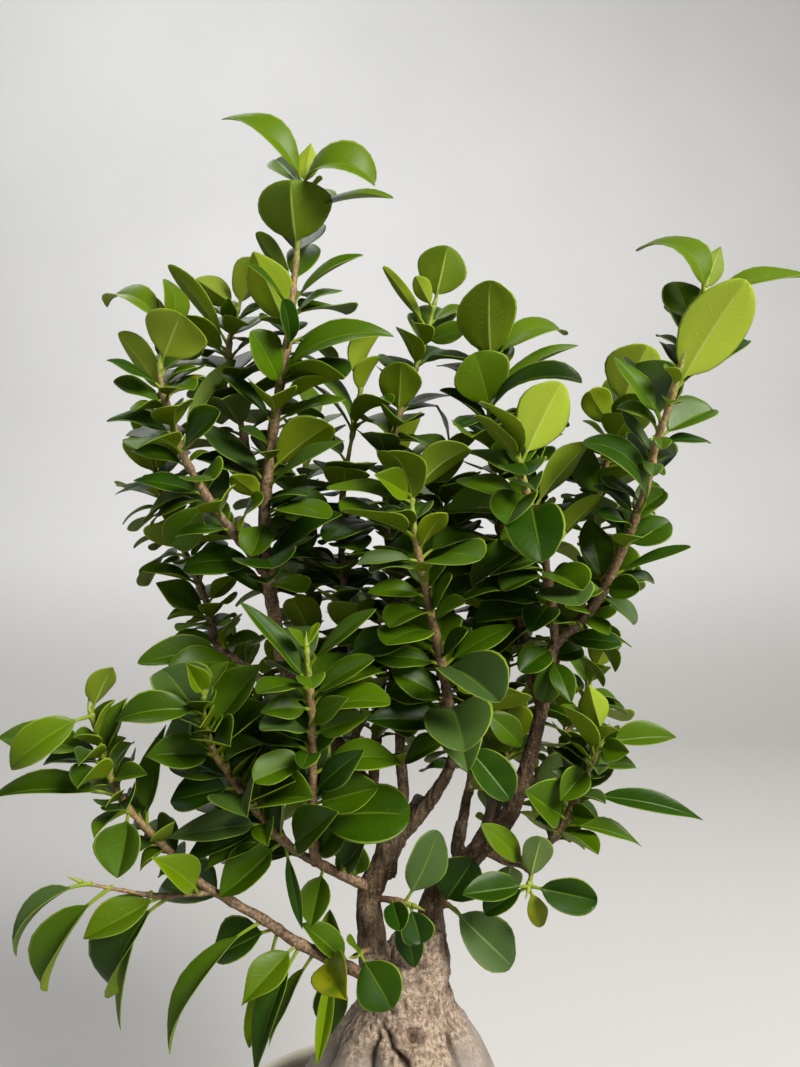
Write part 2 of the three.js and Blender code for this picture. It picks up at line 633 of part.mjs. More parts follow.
// Point on the leaf: s along from base to tip, `across` sideways and `above` the arc.
function onLeaf(leaf, s, across, above) {
  const turn = leaf.half * (1 - 2 * s);
  const along = leaf.radius * (Math.sin(leaf.half) - Math.sin(turn)) - above * Math.sin(turn);
  const rise = leaf.radius * (Math.cos(turn) - Math.cos(leaf.half)) + above * Math.cos(turn);
  return leaf.root.clone()
    .addScaledVector(leaf.ahead, along)
    .addScaledVector(leaf.up, rise)
    .addScaledVector(leaf.side, across);
}

// Half width of the blade, one at its widest; u runs from the stalk to the tip.
function outline(u, pointed) {
  const [a, b] = pointed ? [0.8, 0.95] : [0.75, 0.5];
  const peak = a / (a + b);
  return (u / peak) ** a * ((1 - u) / (1 - peak)) ** b;
}

// Point on the blade: v runs from -1 to 1 across.
function onBlade(leaf, u, v, above) {
  const across = v * leaf.wide / 2 * outline(u, leaf.pointed);
  return onLeaf(leaf, STALK + (1 - STALK) * u, across, above);
}

// Four-point rings; they shrink to one point inside the stem, three on the stalk, two at the tip.
function leafSolid(leaf) {
  const t = BLADE_THICK / 2;
  const left = onLeaf(leaf, STALK, -1, 0.5);
  const right = onLeaf(leaf, STALK, 1, 0.5);
  const under = onLeaf(leaf, STALK, 0, -1);
  const tip = [onLeaf(leaf, 1, 0, t), onLeaf(leaf, 1, 0, -t)];
  const blade = (u) => [[-1.05, t], [1.05, t], [1.05, -t], [-1.05, -t]]
    .map(([v, above]) => onBlade(leaf, u, v, above));
  const cuts = leaf.size < 30 ? [0.58] : leaf.size < 52 ? [0.35, 0.77] : [0.25, 0.57, 0.86];
  const rings = [
    Array(4).fill(onLeaf(leaf, -0.03, 0, 0)),
    [left, right, under, under],
    ...cuts.map(blade),
    [tip[0], tip[0], tip[1], tip[1]],
  ];
  const sheet = new THREE.PlaneGeometry(1, 1, 4, rings.length - 1);
  const place = sheet.getAttribute("position");
  rings.forEach((ring, row) => {
    for (let column = 0; column <= 4; column += 1) {
      const p = ring[column % 4];
      place.setXYZ(row * 5 + column, p.x, p.y, p.z);
    }
  });
  return toSolid(sheet);
}

// From here on: keeping leaves apart.

function bladeSamples(leaf, rows = 8, sides = 3) {
  const points = [];
  for (let i = 0; i < rows; i += 1) {
    for (let j = -sides; j <= sides; j += 1) {
      points.push(onBlade(leaf, (i + 0.6) / rows, j / sides, 0));
    }
  }
  return points;
}

function stemSamples(name, route, thick) {
  const curve = curveOf(route);
  const count = Math.ceil(curve.getLength() / 4);
  return Array.from({ length: count + 1 }, (unused, i) => ({
    name, point: curve.getPoint(i / count), radius: thickAt(thick, i / count),
  }));
}

const wood = [
  ...LIMBS.flatMap(({ route, thick }) => stemSamples("limb", route, thick)),
  ...Object.entries(STEMS).flatMap(([name, { route, thick }]) => stemSamples(name, route, thick)),
];
const placed = [];

const EYE = vec(EYE_AT);

function hitsRoot(p) {
  if (p.z > BULB[BULB.length - 1][0] || p.z < BULB[0][0]) return false;
  const above = BULB.findIndex(([z]) => z > p.z);
  const [[z0, r0, x0], [z1, r1, x1]] = [BULB[above - 1], BULB[above]];
  const k = (p.z - z0) / (z1 - z0);
  return Math.hypot(p.x - x0 - (x1 - x0) * k, p.y) < r0 + (r1 - r0) * k + 3;
}

function isClear(leaf, points, name) {
  const outer = points.filter((unused, i) => i >= 14);
  for (const p of points) {
    if (hitsRoot(p)) return false;
  }
  for (const bit of wood) {
    const own = bit.name === name;
    if (bit.name === "limb" && leaf.root.distanceTo(bit.point) < bit.radius + 1) return false;
    const near = bit.radius + (own ? 1.2 : STEM_CLEAR);
    if ((own ? outer : points).some((p) => p.distanceTo(bit.point) < near)) return false;
  }
  for (const other of placed) {
    if (other.middle.distanceTo(points[24]) > 75) continue;
    if (points.some((p) => other.points.some((q) => p.distanceTo(q) < CLEAR))) return false;
  }
  return true;
}

function settle(name, candidates) {
  for (const leaf of candidates) {
    const points = bladeSamples(leaf);
    if (isClear(leaf, points, name)) {
      placed.push({ name, leaf, points, middle: points[24] });
      return;
    }
  }
}

// Where a point lies in the plane of the trunk for the viewer.
function sightOf(point) {
  const sight = point.clone().sub(EYE);
  return sight.multiplyScalar(-EYE.y / sight.y).add(EYE);
}

// How near the nearest leaf seen in place is, for each small square of the view.
const nearest = new Map();
const cellOf = ({ x, z }) => Math.floor(x / VIEW_CELL) * 1000 + Math.floor(z / VIEW_CELL);

function markSeen(leaf) {
  for (const point of bladeSamples(leaf, 24, 7)) {
    const cell = cellOf(sightOf(point));
    nearest.set(cell, Math.min(point.y, nearest.get(cell) ?? Infinity));
  }
}

// Too much of the blade lies, for the viewer, in front of a clear patch or of a leaf seen in place.
function spoilsView(leaf) {
  const points = bladeSamples(leaf);
  const sights = points.map(sightOf);
  const onPatch = sights.filter((sight) => CLEAR_PATCHES.some(
    ([x, z, radius]) => Math.hypot(sight.x - x, sight.z - z) < radius,
  ));
  const onLeaf = points.filter((point, i) => point.y < (nearest.get(cellOf(sights[i])) ?? -Infinity));
  return onPatch.length > COVERED * points.length || onLeaf.length > HIDDEN * points.length;
}

// The step to the tip after a move in depth: the tip slides along the viewer's line of sight.
function slide(root, step, shift) {
  const tip = root.clone().add(step).sub(EYE);
  return tip.multiplyScalar(1 + shift / tip.y).add(EYE).sub(root);
}

// A leaf seen in place keeps its outline for the viewer and moves only in depth.
function placeSeen(name) {
  const { route, leaves } = STEMS[name];
  const curve = curveOf(route);
  for (const [at, x, y, z, wide, face, bend] of leaves) {
    const shifts = [0, -5, 5, -10, 10, -15, 15, -20, 20, -26, 26];
    const root = curve.getPoint(at);
    settle(name, shifts.map((shift) => makeLeaf(
      root, slide(root, vec([x, y, z]), shift), vec(FACES[face]), wide, bend,
      POINTED.includes(name),
    )));
  }
}

// Further leaves follow one another round the stem by the golden angle.
function placeByRule(name, index) {
  const { route, more } = STEMS[name];
  const curve = curveOf(route);
  const random = makeRandom(SEED + 7919 * index);
  for (let k = 0; k < more; k += 1) {
    const [r1, r2, r3, r4, r5] = [random(), random(), random(), random(), random()];
    const t = 0.16 + 0.84 * (k + 0.3 + 0.4 * r1) / more;
    const tip = smoothstep(0.75, 1, t);
    const long = (50 - 13 * tip) * (0.85 + 0.3 * r2);
    const lift = (22 + 40 * tip + 18 * r3) * DEG;
    const turns = [0, 22, -22, 44, -44, 66, -66, 90, -90, 120, -120, 180];
    const tries = turns.map((turn) => {
      const angle = (137.5 * k + 60 * r4 + turn + 40 * index) * DEG;
      return ruleLeaf(curve, t, angle, lift, long, (0.53 + 0.12 * r5) * long, POINTED.includes(name));
    });
    settle(name, tries.filter((leaf) => !spoilsView(leaf)));
  }
}

function ruleLeaf(curve, t, angle, lift, long, wide, pointed) {
  const { grow, front, right } = frameAt(curve, t);
  const out = front.multiplyScalar(Math.cos(angle)).addScaledVector(right, Math.sin(angle));
  const ahead = out.clone().multiplyScalar(Math.cos(lift)).addScaledVector(grow, Math.sin(lift));
  const face = grow.clone().multiplyScalar(Math.cos(lift)).addScaledVector(out, -Math.sin(lift));
  face.z += 0.5;
  ahead.z -= 0.12;
  return makeLeaf(curve.getPoint(t), ahead.multiplyScalar(long), face, wide, 45, pointed);
}

const names = Object.keys(STEMS);
names.forEach(placeSeen);
placed.forEach((one) => markSeen(one.leaf));
names.forEach(placeByRule);

// From here on: the pieces.

function makePot() {
  const rim = POT_RIM_RADIUS;
  const top = POT_HEIGHT;
  const body = lathe([
    [0, 0], [POT_FOOT_RADIUS - 2, 0], [POT_FOOT_RADIUS, 2], [88, 60], [rim - 7, 109],
    [rim, 114], [rim, top - 3], [rim - 3, top], [rim - 8, top], [rim - 11, top - 3],
    [rim - 12, 108], [81, 60], [70, POT_FLOOR], [0, POT_FLOOR],
  ], 32);
  const drains = [90, 210, 330].map((degrees) => toSolid(
    new THREE.CylinderGeometry(DRAIN_RADIUS, DRAIN_RADIUS, 3 * POT_FLOOR, 12)
      .rotateX(Math.PI / 2)
      .translate(DRAIN_RING * Math.cos(degrees * DEG), DRAIN_RING * Math.sin(degrees * DEG), 0),
  ));
  return drains.reduce((pot, drain) => pot.subtract(drain), body);
}

function makeSoil() {
  const rim = POT_RIM_RADIUS - GAP;
  const body = lathe([
    [0, POT_FLOOR + GAP], [69.6, POT_FLOOR + GAP], [81 - GAP, 60], [rim - 12, 108],
    [rim - 11.7, SOIL_LEVEL], [82, SOIL_LEVEL + 3], [0, SOIL_LEVEL + 4],
  ], 32);
  return body.subtract(bulb(GAP).translate(PLANT_X, PLANT_Y, 0));
}

const trunk = makeTrunk(0);
const trunkRoom = makeTrunk(GAP);

function makeLeafyStem(stems) {
  const parts = stems.flatMap((name) => {
    const { route, thick } = STEMS[name];
    const leaves = placed.filter((one) => one.name === name).map((one) => leafSolid(one.leaf));
    return [tube(route, thick, thick[0] < 3.2 ? 4 : 5), ...leaves];
  });
  const bodies = joinAll(parts).subtract(trunkRoom).decompose();
  return bodies.reduce((best, one) => (one.volume() > best.volume() ? one : best));
}

const paint = (color, roughness) => new THREE.MeshStandardMaterial({ color, roughness });

const ficus = new THREE.Group();
ficus.name = "ginseng_ficus";

function addPiece(name, solid, material) {
  const mesh = new THREE.Mesh(toGeometry(solid), material);
  mesh.name = name;
  ficus.add(mesh);
}

addPiece("pot", makePot(), paint(0xd9d2c0, 0.45));
addPiece("soil", makeSoil(), paint(0x2a2c22, 0.95));
addPiece("trunk", trunk.translate(PLANT_X, PLANT_Y, 0), paint(0x9c8c78, 0.85));
for (const [name, stems] of Object.entries(PIECES)) {
  const stem = makeLeafyStem(stems).translate(PLANT_X, PLANT_Y, 0);
  addPiece(name, stem, paint(0x3f6a1e, 0.5));
}

export default ficus;
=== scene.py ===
# %% [markdown]
# # A ginseng ficus in its pot
# The real plant is a seedling whose root was grown fat, lifted out of the soil and grafted with
# small-leaved shoots. The frame holds plain solids of every piece. This lesson dresses them: a fine
# pot, crumbly soil, a creased and barky root, and twigs with glossy leaves. Every new piece keeps the
# place and form of the solid that it stands for.

# %% Load the frame
import math

import bpy
import numpy as np
from mathutils import Matrix, Vector


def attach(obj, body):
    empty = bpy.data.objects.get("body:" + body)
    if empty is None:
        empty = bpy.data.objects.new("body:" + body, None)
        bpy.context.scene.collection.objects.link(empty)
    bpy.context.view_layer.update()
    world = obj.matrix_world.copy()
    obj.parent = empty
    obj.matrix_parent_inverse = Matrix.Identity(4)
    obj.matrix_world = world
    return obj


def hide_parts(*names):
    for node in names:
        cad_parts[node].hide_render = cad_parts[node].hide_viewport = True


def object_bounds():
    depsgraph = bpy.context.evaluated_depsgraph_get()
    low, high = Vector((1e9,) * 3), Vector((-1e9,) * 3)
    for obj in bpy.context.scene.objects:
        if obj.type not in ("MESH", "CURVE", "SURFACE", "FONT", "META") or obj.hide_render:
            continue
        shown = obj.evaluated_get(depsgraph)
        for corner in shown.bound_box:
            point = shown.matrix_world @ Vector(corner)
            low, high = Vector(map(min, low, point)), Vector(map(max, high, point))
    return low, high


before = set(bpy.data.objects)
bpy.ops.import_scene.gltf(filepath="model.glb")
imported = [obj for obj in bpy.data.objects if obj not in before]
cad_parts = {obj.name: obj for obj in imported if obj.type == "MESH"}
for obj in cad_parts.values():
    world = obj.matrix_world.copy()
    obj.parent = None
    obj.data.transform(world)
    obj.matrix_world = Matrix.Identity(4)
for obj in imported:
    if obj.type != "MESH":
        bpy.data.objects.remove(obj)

cad_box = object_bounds()
print("nodes in the frame:", len(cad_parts))

# %% [markdown]
# ## Units and camera
# The shapes below are worked out in millimetres, as a grower would measure them, and turned to metres
# only when a mesh is made. The camera stands level, half a metre in front of the plant and at two
# thirds of its height, with the wide lens of a hand-held camera.

# %% Camera
MM = 0.001
CAMERA_PLACE = (17, -511, 487)
LENS = 28.7
SENSOR = 36.0

camera = bpy.data.objects.new("camera", bpy.data.cameras.new("camera"))
camera.data.lens = LENS
camera.data.sensor_width = SENSOR
camera.location = [value * MM for value in CAMERA_PLACE]
camera.rotation_euler = (math.pi / 2, 0, 0)
bpy.context.scene.collection.objects.link(camera)
bpy.context.scene.camera = camera
print("camera at", tuple(round(value, 3) for value in camera.location))

# %% [markdown]
# ## From arrays to a mesh
# Each surface is a grid of points. A ring of points is carried along a path, neighbouring rings are
# joined by quads, and a pole point closes each end, so every piece is a closed skin. Numbers that the
# materials need, such as the place along a leaf, are kept on the corners of the faces: the two sides
# of a leaf share their margin points, but not their corners.

# %% Mesh helpers
def smoothstep(start, end, x):
    """0 before start, 1 after end, and the cubic 3t^2 - 2t^3 between them."""
    t = np.clip((np.asarray(x, float) - start) / (end - start), 0, 1)
    return t * t * (3 - 2 * t)


def ring_faces(rings, around):
    """Quads between neighbouring closed rings, then a fan of triangles at each pole."""
    row = np.arange(rings - 1)[:, None] * around
    here = np.arange(around)[None, :]
    after = (here + 1) % around
    quads = np.stack([row + here, row + after, row + after + around, row + here + around], -1)
    first, last = rings * around, rings * around + 1
    end = (rings - 1) * around
    here, after = here[0], after[0]
    start_fan = np.stack([np.full(around, first), after, here], -1)
    end_fan = np.stack([np.full(around, last), end + here, end + after], -1)
    return quads.reshape(-1, 4), np.concatenate([start_fan, end_fan])


def keep_values(mesh, name, domain, values):
    """Keeps three numbers for each corner or each point of a mesh, as an attribute of this name."""
    layer = mesh.attributes.new(name, "FLOAT_COLOR", domain)
    full = np.concatenate([values, np.ones((len(values), 1))], 1)
    layer.data.foreach_set("color", full.astype(np.float32).ravel())


def link(name, mesh):
    """Puts a mesh into the scene as an object at the origin."""
    piece = bpy.data.objects.new(name, mesh)
    bpy.context.scene.collection.objects.link(piece)
    return piece


def make_mesh(name, points, quads, triangles, corner_data=None, smooth=True):
    """A mesh object in metres from millimetre points, quads and triangles."""
    mesh = bpy.data.meshes.new(name)
    corners = np.concatenate([quads.ravel(), triangles.ravel()])
    starts = np.concatenate([
        np.arange(len(quads)) * 4, quads.size + np.arange(len(triangles)) * 3,
    ])
    mesh.vertices.add(len(points))
    mesh.vertices.foreach_set("co", (np.asarray(points) * MM).ravel())
    mesh.loops.add(len(corners))
    mesh.loops.foreach_set("vertex_index", corners.astype(np.int32))
    mesh.polygons.add(len(starts))
    mesh.polygons.foreach_set("loop_start", starts.astype(np.int32))
    mesh.update(calc_edges=True)
    for key, values in (corner_data or {}).items():
        keep_values(mesh, key, "CORNER", values)
    mesh.polygons.foreach_set("use_smooth", np.full(len(mesh.polygons), smooth))
    return link(name, mesh)


def finish_piece(piece, nodes=(), materials=()):
    """The piece moves with the plant, stands for its nodes and gets its materials."""
    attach(piece, "root")
    if nodes:
        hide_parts(*nodes)
    for material in materials:
        piece.data.materials.append(material)
    print(piece.name, len(piece.data.polygons), "faces")
    return piece


def settled(piece):
    """Turns the modifiers of a piece into plain mesh, smoothly shaded."""
    graph = bpy.context.evaluated_depsgraph_get()
    mesh = bpy.data.meshes.new_from_object(piece.evaluated_get(graph))
    mesh.polygons.foreach_set("use_smooth", np.ones(len(mesh.polygons), bool))
    name = piece.name
    bpy.data.objects.remove(piece)
    return link(name, mesh)


# %% [markdown]
# ## Roughness of grown and crumbled things
# Bark, soil and leaves vary everywhere. A lattice of random numbers, blended smoothly between its
# points, gives such variation for whole arrays of points at once. The numbers come from mixing the bits
# of the lattice place with large primes, so they are the same each time.

# %% Noise
SEED = 20261
PRIMES = (73856093, 19349663, 83492791)
SEED_PRIME = 2654435761
MIXER = 1274126177
LARGEST = 0xFFFF


def noise(points, size, seed=0):
    """Random values on a lattice of the given pitch, blended by smoothstep weights, from -1 to 1."""
    place = np.asarray(points, float) / size
    cell = np.floor(place).astype(np.int64)
    part = place - cell
    weight = part * part * (3 - 2 * part)
    total = 0
    for corner in np.ndindex(2, 2, 2):
        x, y, z = ((cell + corner) * PRIMES).T
        mixed = x ^ y ^ z ^ (seed * SEED_PRIME + SEED)
        mixed = (mixed ^ (mixed >> 13)) * MIXER
        value = ((mixed ^ (mixed >> 16)) & LARGEST) / (LARGEST / 2) - 1
        share = np.prod(np.where(np.array(corner) == 1, weight, 1 - weight), 1)
        total = total + value * share
    return total


print("noise spans", noise(np.random.default_rng(1).random((500, 3)) * 90, 7).round(2)[:3])

# %% [markdown]
# ## A small language for materials
# Blender builds materials from nodes. The class below wraps a socket, so that a sum or product written
# in Python adds the Math node for it. Every other node comes from `node`: its settings first, then the
# values or links of its sockets.

# %% Material helper
class Wire:
    """A value that varies over a surface, as the output socket of a shader node."""

    def __init__(self, tree, socket=None):
        self.tree = tree
        self.socket = socket

    def node(self, kind, settings=None, inputs=None, output=0):
        """Adds a node and returns one of its outputs."""
        made = self.tree.nodes.new(kind)
        for key, value in (settings or {}).items():
            setattr(made, key, value)
        for key, value in (inputs or {}).items():
            if isinstance(value, Wire):
                self.tree.links.new(value.socket, made.inputs[key])
            else:
                made.inputs[key].default_value = value
        return Wire(self.tree, made.outputs[output] if made.outputs else None)

    def math(self, operation, *values):
        """A Math node on this tree."""
        return self.node("ShaderNodeMath", {"operation": operation}, dict(enumerate(values)))

    def __add__(self, other):
        return self.math("ADD", self, other)

    def __sub__(self, other):
        return self.math("SUBTRACT", self, other)

    def __mul__(self, other):
        return self.math("MULTIPLY", self, other)

    def __rsub__(self, other):
        return self.math("SUBTRACT", other, self)

    __radd__ = __add__
    __rmul__ = __mul__

    def step(self, start, end):
        """Smooth rise from 0 at start to 1 at end."""
        settings = {"interpolation_type": "SMOOTHSTEP"}
        return self.node("ShaderNodeMapRange", settings, {0: self, 1: start, 2: end})

    def mix(self, low, high):
        """Colour low where this is 0 and high where it is 1."""
        return self.node("ShaderNodeMix", {"data_type": "RGBA"}, {0: self, 6: low, 7: high}, 2)

    def speckle(self, place, scale, detail=3.0, roughness=0.5):
        """Cloudy noise from 0 to 1; scale counts its features in a metre."""
        values = {"Vector": place, "Scale": scale, "Detail": detail, "Roughness": roughness}
        return self.node("ShaderNodeTexNoise", None, values)


def rgb(red, green, blue):
    """A colour as a socket takes it."""
    return (red, green, blue, 1.0)


def new_material(name):
    """An empty material and the wire that starts its nodes."""
    material = bpy.data.materials.new(name)
    material.use_nodes = True
    material.node_tree.nodes.clear()
    return material, Wire(material.node_tree)


def object_place(start):
    """Coordinates on the piece, in metres."""
    return start.node("ShaderNodeTexCoord", None, None, 3)


def parts_of(value, kind="ShaderNodeSeparateXYZ"):
    """The three numbers that a place, or with another kind of node a colour, is made of."""
    split = value.node(kind, None, {0: value})
    return [Wire(value.tree, split.socket.node.outputs[i]) for i in range(3)]


def kept_values(start, name):
    """The three numbers kept on the mesh under this name."""
    kept = start.node("ShaderNodeAttribute", {"attribute_name": name})
    return parts_of(kept, "ShaderNodeSeparateColor")


def bump(height, depth):
    """Small relief: height from 0 to 1 stands for depth metres."""
    values = {"Height": height, "Distance": depth, "Strength": 1.0}
    return height.node("ShaderNodeBump", None, values)


def coat(color, roughness, more=None):
    """The shader of a solid surface; more holds the values of its other sockets."""
    values = {"Base Color": color, "Roughness": roughness, **(more or {})}
    return color.node("ShaderNodeBsdfPrincipled", None, values)


def output(surface):
    """Ends a material."""
    surface.node("ShaderNodeOutputMaterial", None, {0: surface})


print("materials are built from", Wire.__name__, "values")

# %% [markdown]
# ## Pot
# The pot is a glazed bowl with a thick rolled rim and a small foot. It is turned on a wheel, so its
# skin is one profile spun round the middle. The corners of the profile are rounded by short curves,
# because a fired glaze has no sharp edge, and three drain holes are cut through the floor.

# %% Spun shapes
POT_HEIGHT = 125
RIM_RADIUS = 105
FOOT_RADIUS = 76
FLOOR = 7
POT_PROFILE = [
    (0, 0), (FOOT_RADIUS - 2, 0), (FOOT_RADIUS, 2), (88, 60), (RIM_RADIUS - 7, 109),
    (RIM_RADIUS, 114), (RIM_RADIUS, POT_HEIGHT - 3), (RIM_RADIUS - 3, POT_HEIGHT),
    (RIM_RADIUS - 8, POT_HEIGHT), (RIM_RADIUS - 11, POT_HEIGHT - 3), (RIM_RADIUS - 12, 108),
    (81, 60), (70, FLOOR), (0, FLOOR),
]
POT_SIDES = 160
LONGEST_LEG = 0.45


def rounded(profile, reach, steps=5):
    """Each corner becomes a quadratic curve between the points `reach` before and after it, or nearer
    where an edge is short."""
    points = [np.array(profile[0], float)]
    for before, corner, after in zip(profile, profile[1:], profile[2:]):
        before, corner, after = (np.array(p, float) for p in (before, corner, after))
        legs = [before - corner, after - corner]
        start, end = [
            corner + leg * min(reach / np.linalg.norm(leg), LONGEST_LEG) for leg in legs
        ]
        for t in np.linspace(0, 1, steps):
            points.append((1 - t) ** 2 * start + 2 * t * (1 - t) * corner + t * t * end)
    points.append(np.array(profile[-1], float))
    return np.array(points)


def spin(name, profile, sides):
    """Radius and height at each profile point, turned round the z axis; its two ends are poles."""
    radius, height = profile[1:-1].T
    angle = np.arange(sides) * 2 * np.pi / sides
    ring = np.stack([np.cos(angle), np.sin(angle)], -1)
    body = np.concatenate([
        radius[:, None, None] * ring[None],
        np.broadcast_to(height[:, None, None], (len(height), sides, 1)),
    ], -1).reshape(-1, 3)
    poles = [[0, 0, profile[0][1]], [0, 0, profile[-1][1]]]
    quads, triangles = ring_faces(len(height), sides)
    return make_mesh(name, np.concatenate([body, poles]), quads, triangles)


print("corners of the pot's profile:", len(POT_PROFILE))

# %% Pot with its drain holes
DRAIN_RADIUS = 6
DRAIN_RING = 40
DRAIN_ANGLES = (90, 210, 330)
DRILL_SIDES = 48
DRILL_LOW, DRILL_HIGH = -5, 15
ROUNDING = 2.6


def drill(pot, x, y):
    """Cuts a round hole straight down through the floor: the pot less a rod."""
    edge = [(0, DRILL_LOW), (DRAIN_RADIUS, DRILL_LOW), (DRAIN_RADIUS, DRILL_HIGH), (0, DRILL_HIGH)]
    rod = spin("drill", np.array(edge, float), DRILL_SIDES)
    rod.data.transform(Matrix.Translation((x * MM, y * MM, 0)))
    cut = pot.modifiers.new("drain", "BOOLEAN")
    cut.operation = "DIFFERENCE"
    cut.object = rod
    cut.solver = "EXACT"
    pot = settled(pot)
    bpy.data.objects.remove(rod)
    return pot


pot = spin("pot_body", rounded(POT_PROFILE, ROUNDING), POT_SIDES)
for degrees in DRAIN_ANGLES:
    turn = math.radians(degrees)
    pot = drill(pot, DRAIN_RING * math.cos(turn), DRAIN_RING * math.sin(turn))
print("drain holes:", len(DRAIN_ANGLES))

# %% [markdown]
# The glaze is cream, a little warmer and darker where it ran thin over the rim, with faint throwing
# rings and a few iron specks. It is satin: broad soft highlights, broken slightly by the rings.

# %% Glaze
RIM_WORN = (0.112, 0.1245)
THROWING_RINGS = 2600
RING_DEPTH = 0.00006


def glaze():
    """Cream in two tones, darker over the rim by height, and rings as the sine of the height."""
    material, start = new_material("cream_glaze")
    place = object_place(start)
    height = parts_of(place)[2]
    cloud = start.speckle(place, 22, 4)
    specks = start.speckle(place, 900, 1).step(0.74, 0.8)
    color = cloud.step(0.3, 0.7).mix(rgb(0.62, 0.56, 0.45), rgb(0.70, 0.65, 0.54))
    color = (height.step(*RIM_WORN) * 0.35).mix(color, rgb(0.50, 0.43, 0.32))
    color = (specks * 0.5).mix(color, rgb(0.22, 0.15, 0.09))
    phase = height * THROWING_RINGS + cloud * 3
    rings = phase.math("SINE", phase) * 0.5 + 0.5
    output(coat(color, cloud * 0.18 + 0.3, {"Normal": bump(rings, RING_DEPTH)}))
    return material


finish_piece(pot, ["pot"], [glaze()])

# %% [markdown]
# ## Soil
# The filling is a dark mix of bark crumbs and peat, wet enough to be nearly black. It slumps a little
# below the rim. One spun skin gives the mass, its top pushed up and down by noise, and loose crumbs lie
# half sunk in it: each is a small rounded lump stretched at random.

# %% Soil body
SOIL_LEVEL = 113
SOIL_EDGE = 93
SOIL_TOP_MAX = 116.3
SOIL_FLOOR = 7.5
SOIL_WALL = np.array([
    (69, SOIL_FLOOR), (80.5, 60), (SOIL_EDGE - 0.6, 108), (SOIL_EDGE - 0.3, 111),
])
SOIL_SIDES = 260
SOIL_RINGS = 80
PLANT = np.array([17.0, -1.0, 0.0])
ROOT_REACH = 64
ROOT_SLOPE = 18


def soil_top(x, y):
    """Height of the soil: level, plus three sizes of noise, a little higher round the root."""
    flat = np.stack([x, y, np.zeros_like(x)], -1).reshape(-1, 3)
    rough = noise(flat, 17, 1) * 0.8 + noise(flat, 5, 2) * 0.7 + noise(flat, 2.1, 3) * 0.45
    away = np.hypot(x - PLANT[0], y - PLANT[1])
    near = 1 - smoothstep(ROOT_REACH, ROOT_REACH + ROOT_SLOPE, away)
    height = SOIL_LEVEL + 0.6 + rough.reshape(x.shape) + near * 1.2
    return np.minimum(height, SOIL_TOP_MAX)


def soil_body():
    """Rings shrink to the middle over the top, after the wall has come up from the floor."""
    angle = np.arange(SOIL_SIDES) * 2 * np.pi / SOIL_SIDES
    inner = np.linspace(SOIL_EDGE - 0.6, 1, SOIL_RINGS)
    radius = np.concatenate([SOIL_WALL[:, 0], inner])[:, None]
    x, y = radius * np.cos(angle), radius * np.sin(angle)
    wall = len(SOIL_WALL)
    z = np.concatenate([
        np.broadcast_to(SOIL_WALL[:, 1:], (wall, SOIL_SIDES)), soil_top(x[wall:], y[wall:]),
    ])
    body = np.stack([x, y, z], -1).reshape(-1, 3)
    poles = [[0, 0, SOIL_FLOOR], [0, 0, SOIL_LEVEL + 1]]
    quads, triangles = ring_faces(len(radius), SOIL_SIDES)
    return make_mesh("soil_body", np.concatenate([body, poles]), quads, triangles)


print("soil rises at most to", SOIL_TOP_MAX, "mm")

# %% Crumbs
CRUMBS = 2600
CRUMB_RING = (ROOT_REACH - 22, SOIL_EDGE - 5)
SUNK = 0.35
CRUMB_RISE = 3.5
PHI = (1 + 5 ** 0.5) / 2
LUMP_POINTS = np.array([
    (-1, PHI, 0), (1, PHI, 0), (-1, -PHI, 0), (1, -PHI, 0), (0, -1, PHI), (0, 1, PHI),
    (0, -1, -PHI), (0, 1, -PHI), (PHI, 0, -1), (PHI, 0, 1), (-PHI, 0, -1), (-PHI, 0, 1),
]) / np.hypot(1, PHI)
LUMP_FACES = np.array([
    (0, 11, 5), (0, 5, 1), (0, 1, 7), (0, 7, 10), (0, 10, 11), (1, 5, 9), (5, 11, 4),
    (11, 10, 2), (10, 7, 6), (7, 1, 8), (3, 9, 4), (3, 4, 2), (3, 2, 6), (3, 6, 8),
    (3, 8, 9), (4, 9, 5), (2, 4, 11), (6, 2, 10), (8, 6, 7), (9, 8, 1),
])


def random_turns(draw, count):
    """Rotation matrices from random unit quaternions."""
    w, x, y, z = (q := draw.normal(size=(4, count))) / np.linalg.norm(q, axis=0)
    return np.stack([
        np.stack([1 - 2 * (y * y + z * z), 2 * (x * y - z * w), 2 * (x * z + y * w)], -1),
        np.stack([2 * (x * y + z * w), 1 - 2 * (x * x + z * z), 2 * (y * z - x * w)], -1),
        np.stack([2 * (x * z - y * w), 2 * (y * z + x * w), 1 - 2 * (x * x + y * y)], -1),
    ], 1)


def crumbs(name, count, seed, sizes):
    """Twelve-point lumps, stretched and turned at random, spread evenly over a ring round the root
    and sunk by a third into the soil."""
    draw = np.random.default_rng(SEED + seed)
    angle = draw.random(count) * 2 * np.pi
    radius = np.sqrt(draw.uniform(CRUMB_RING[0] ** 2, CRUMB_RING[1] ** 2, count))
    x, y = radius * np.cos(angle), radius * np.sin(angle)
    size = draw.uniform(*sizes, (count, 1, 1)) * draw.uniform(0.5, 1.0, (count, 1, 3))
    lumps = LUMP_POINTS[None] * size * draw.uniform(0.75, 1.2, (count, 12, 1))
    lumps = lumps @ random_turns(draw, count)
    lowest = lumps[..., 2].min(1)
    highest = SOIL_TOP_MAX + CRUMB_RISE - lumps[..., 2].max(1)
    z = np.minimum(soil_top(x, y) - lowest * SUNK, highest)
    lumps += np.stack([x, y, z], -1)[:, None]
    faces = LUMP_FACES[None] + 12 * np.arange(count)[:, None, None]
    none = np.zeros((0, 4), int)
    return make_mesh(name, lumps.reshape(-1, 3), none, faces.reshape(-1, 3), None, False)


print("crumbs on the soil:", CRUMBS + CRUMBS // 3)

# %% [markdown]
# Wet peat drinks nearly all light. The crumbs differ in tone: most are almost black, some are brown
# bark, and a green film grows where the light reaches.

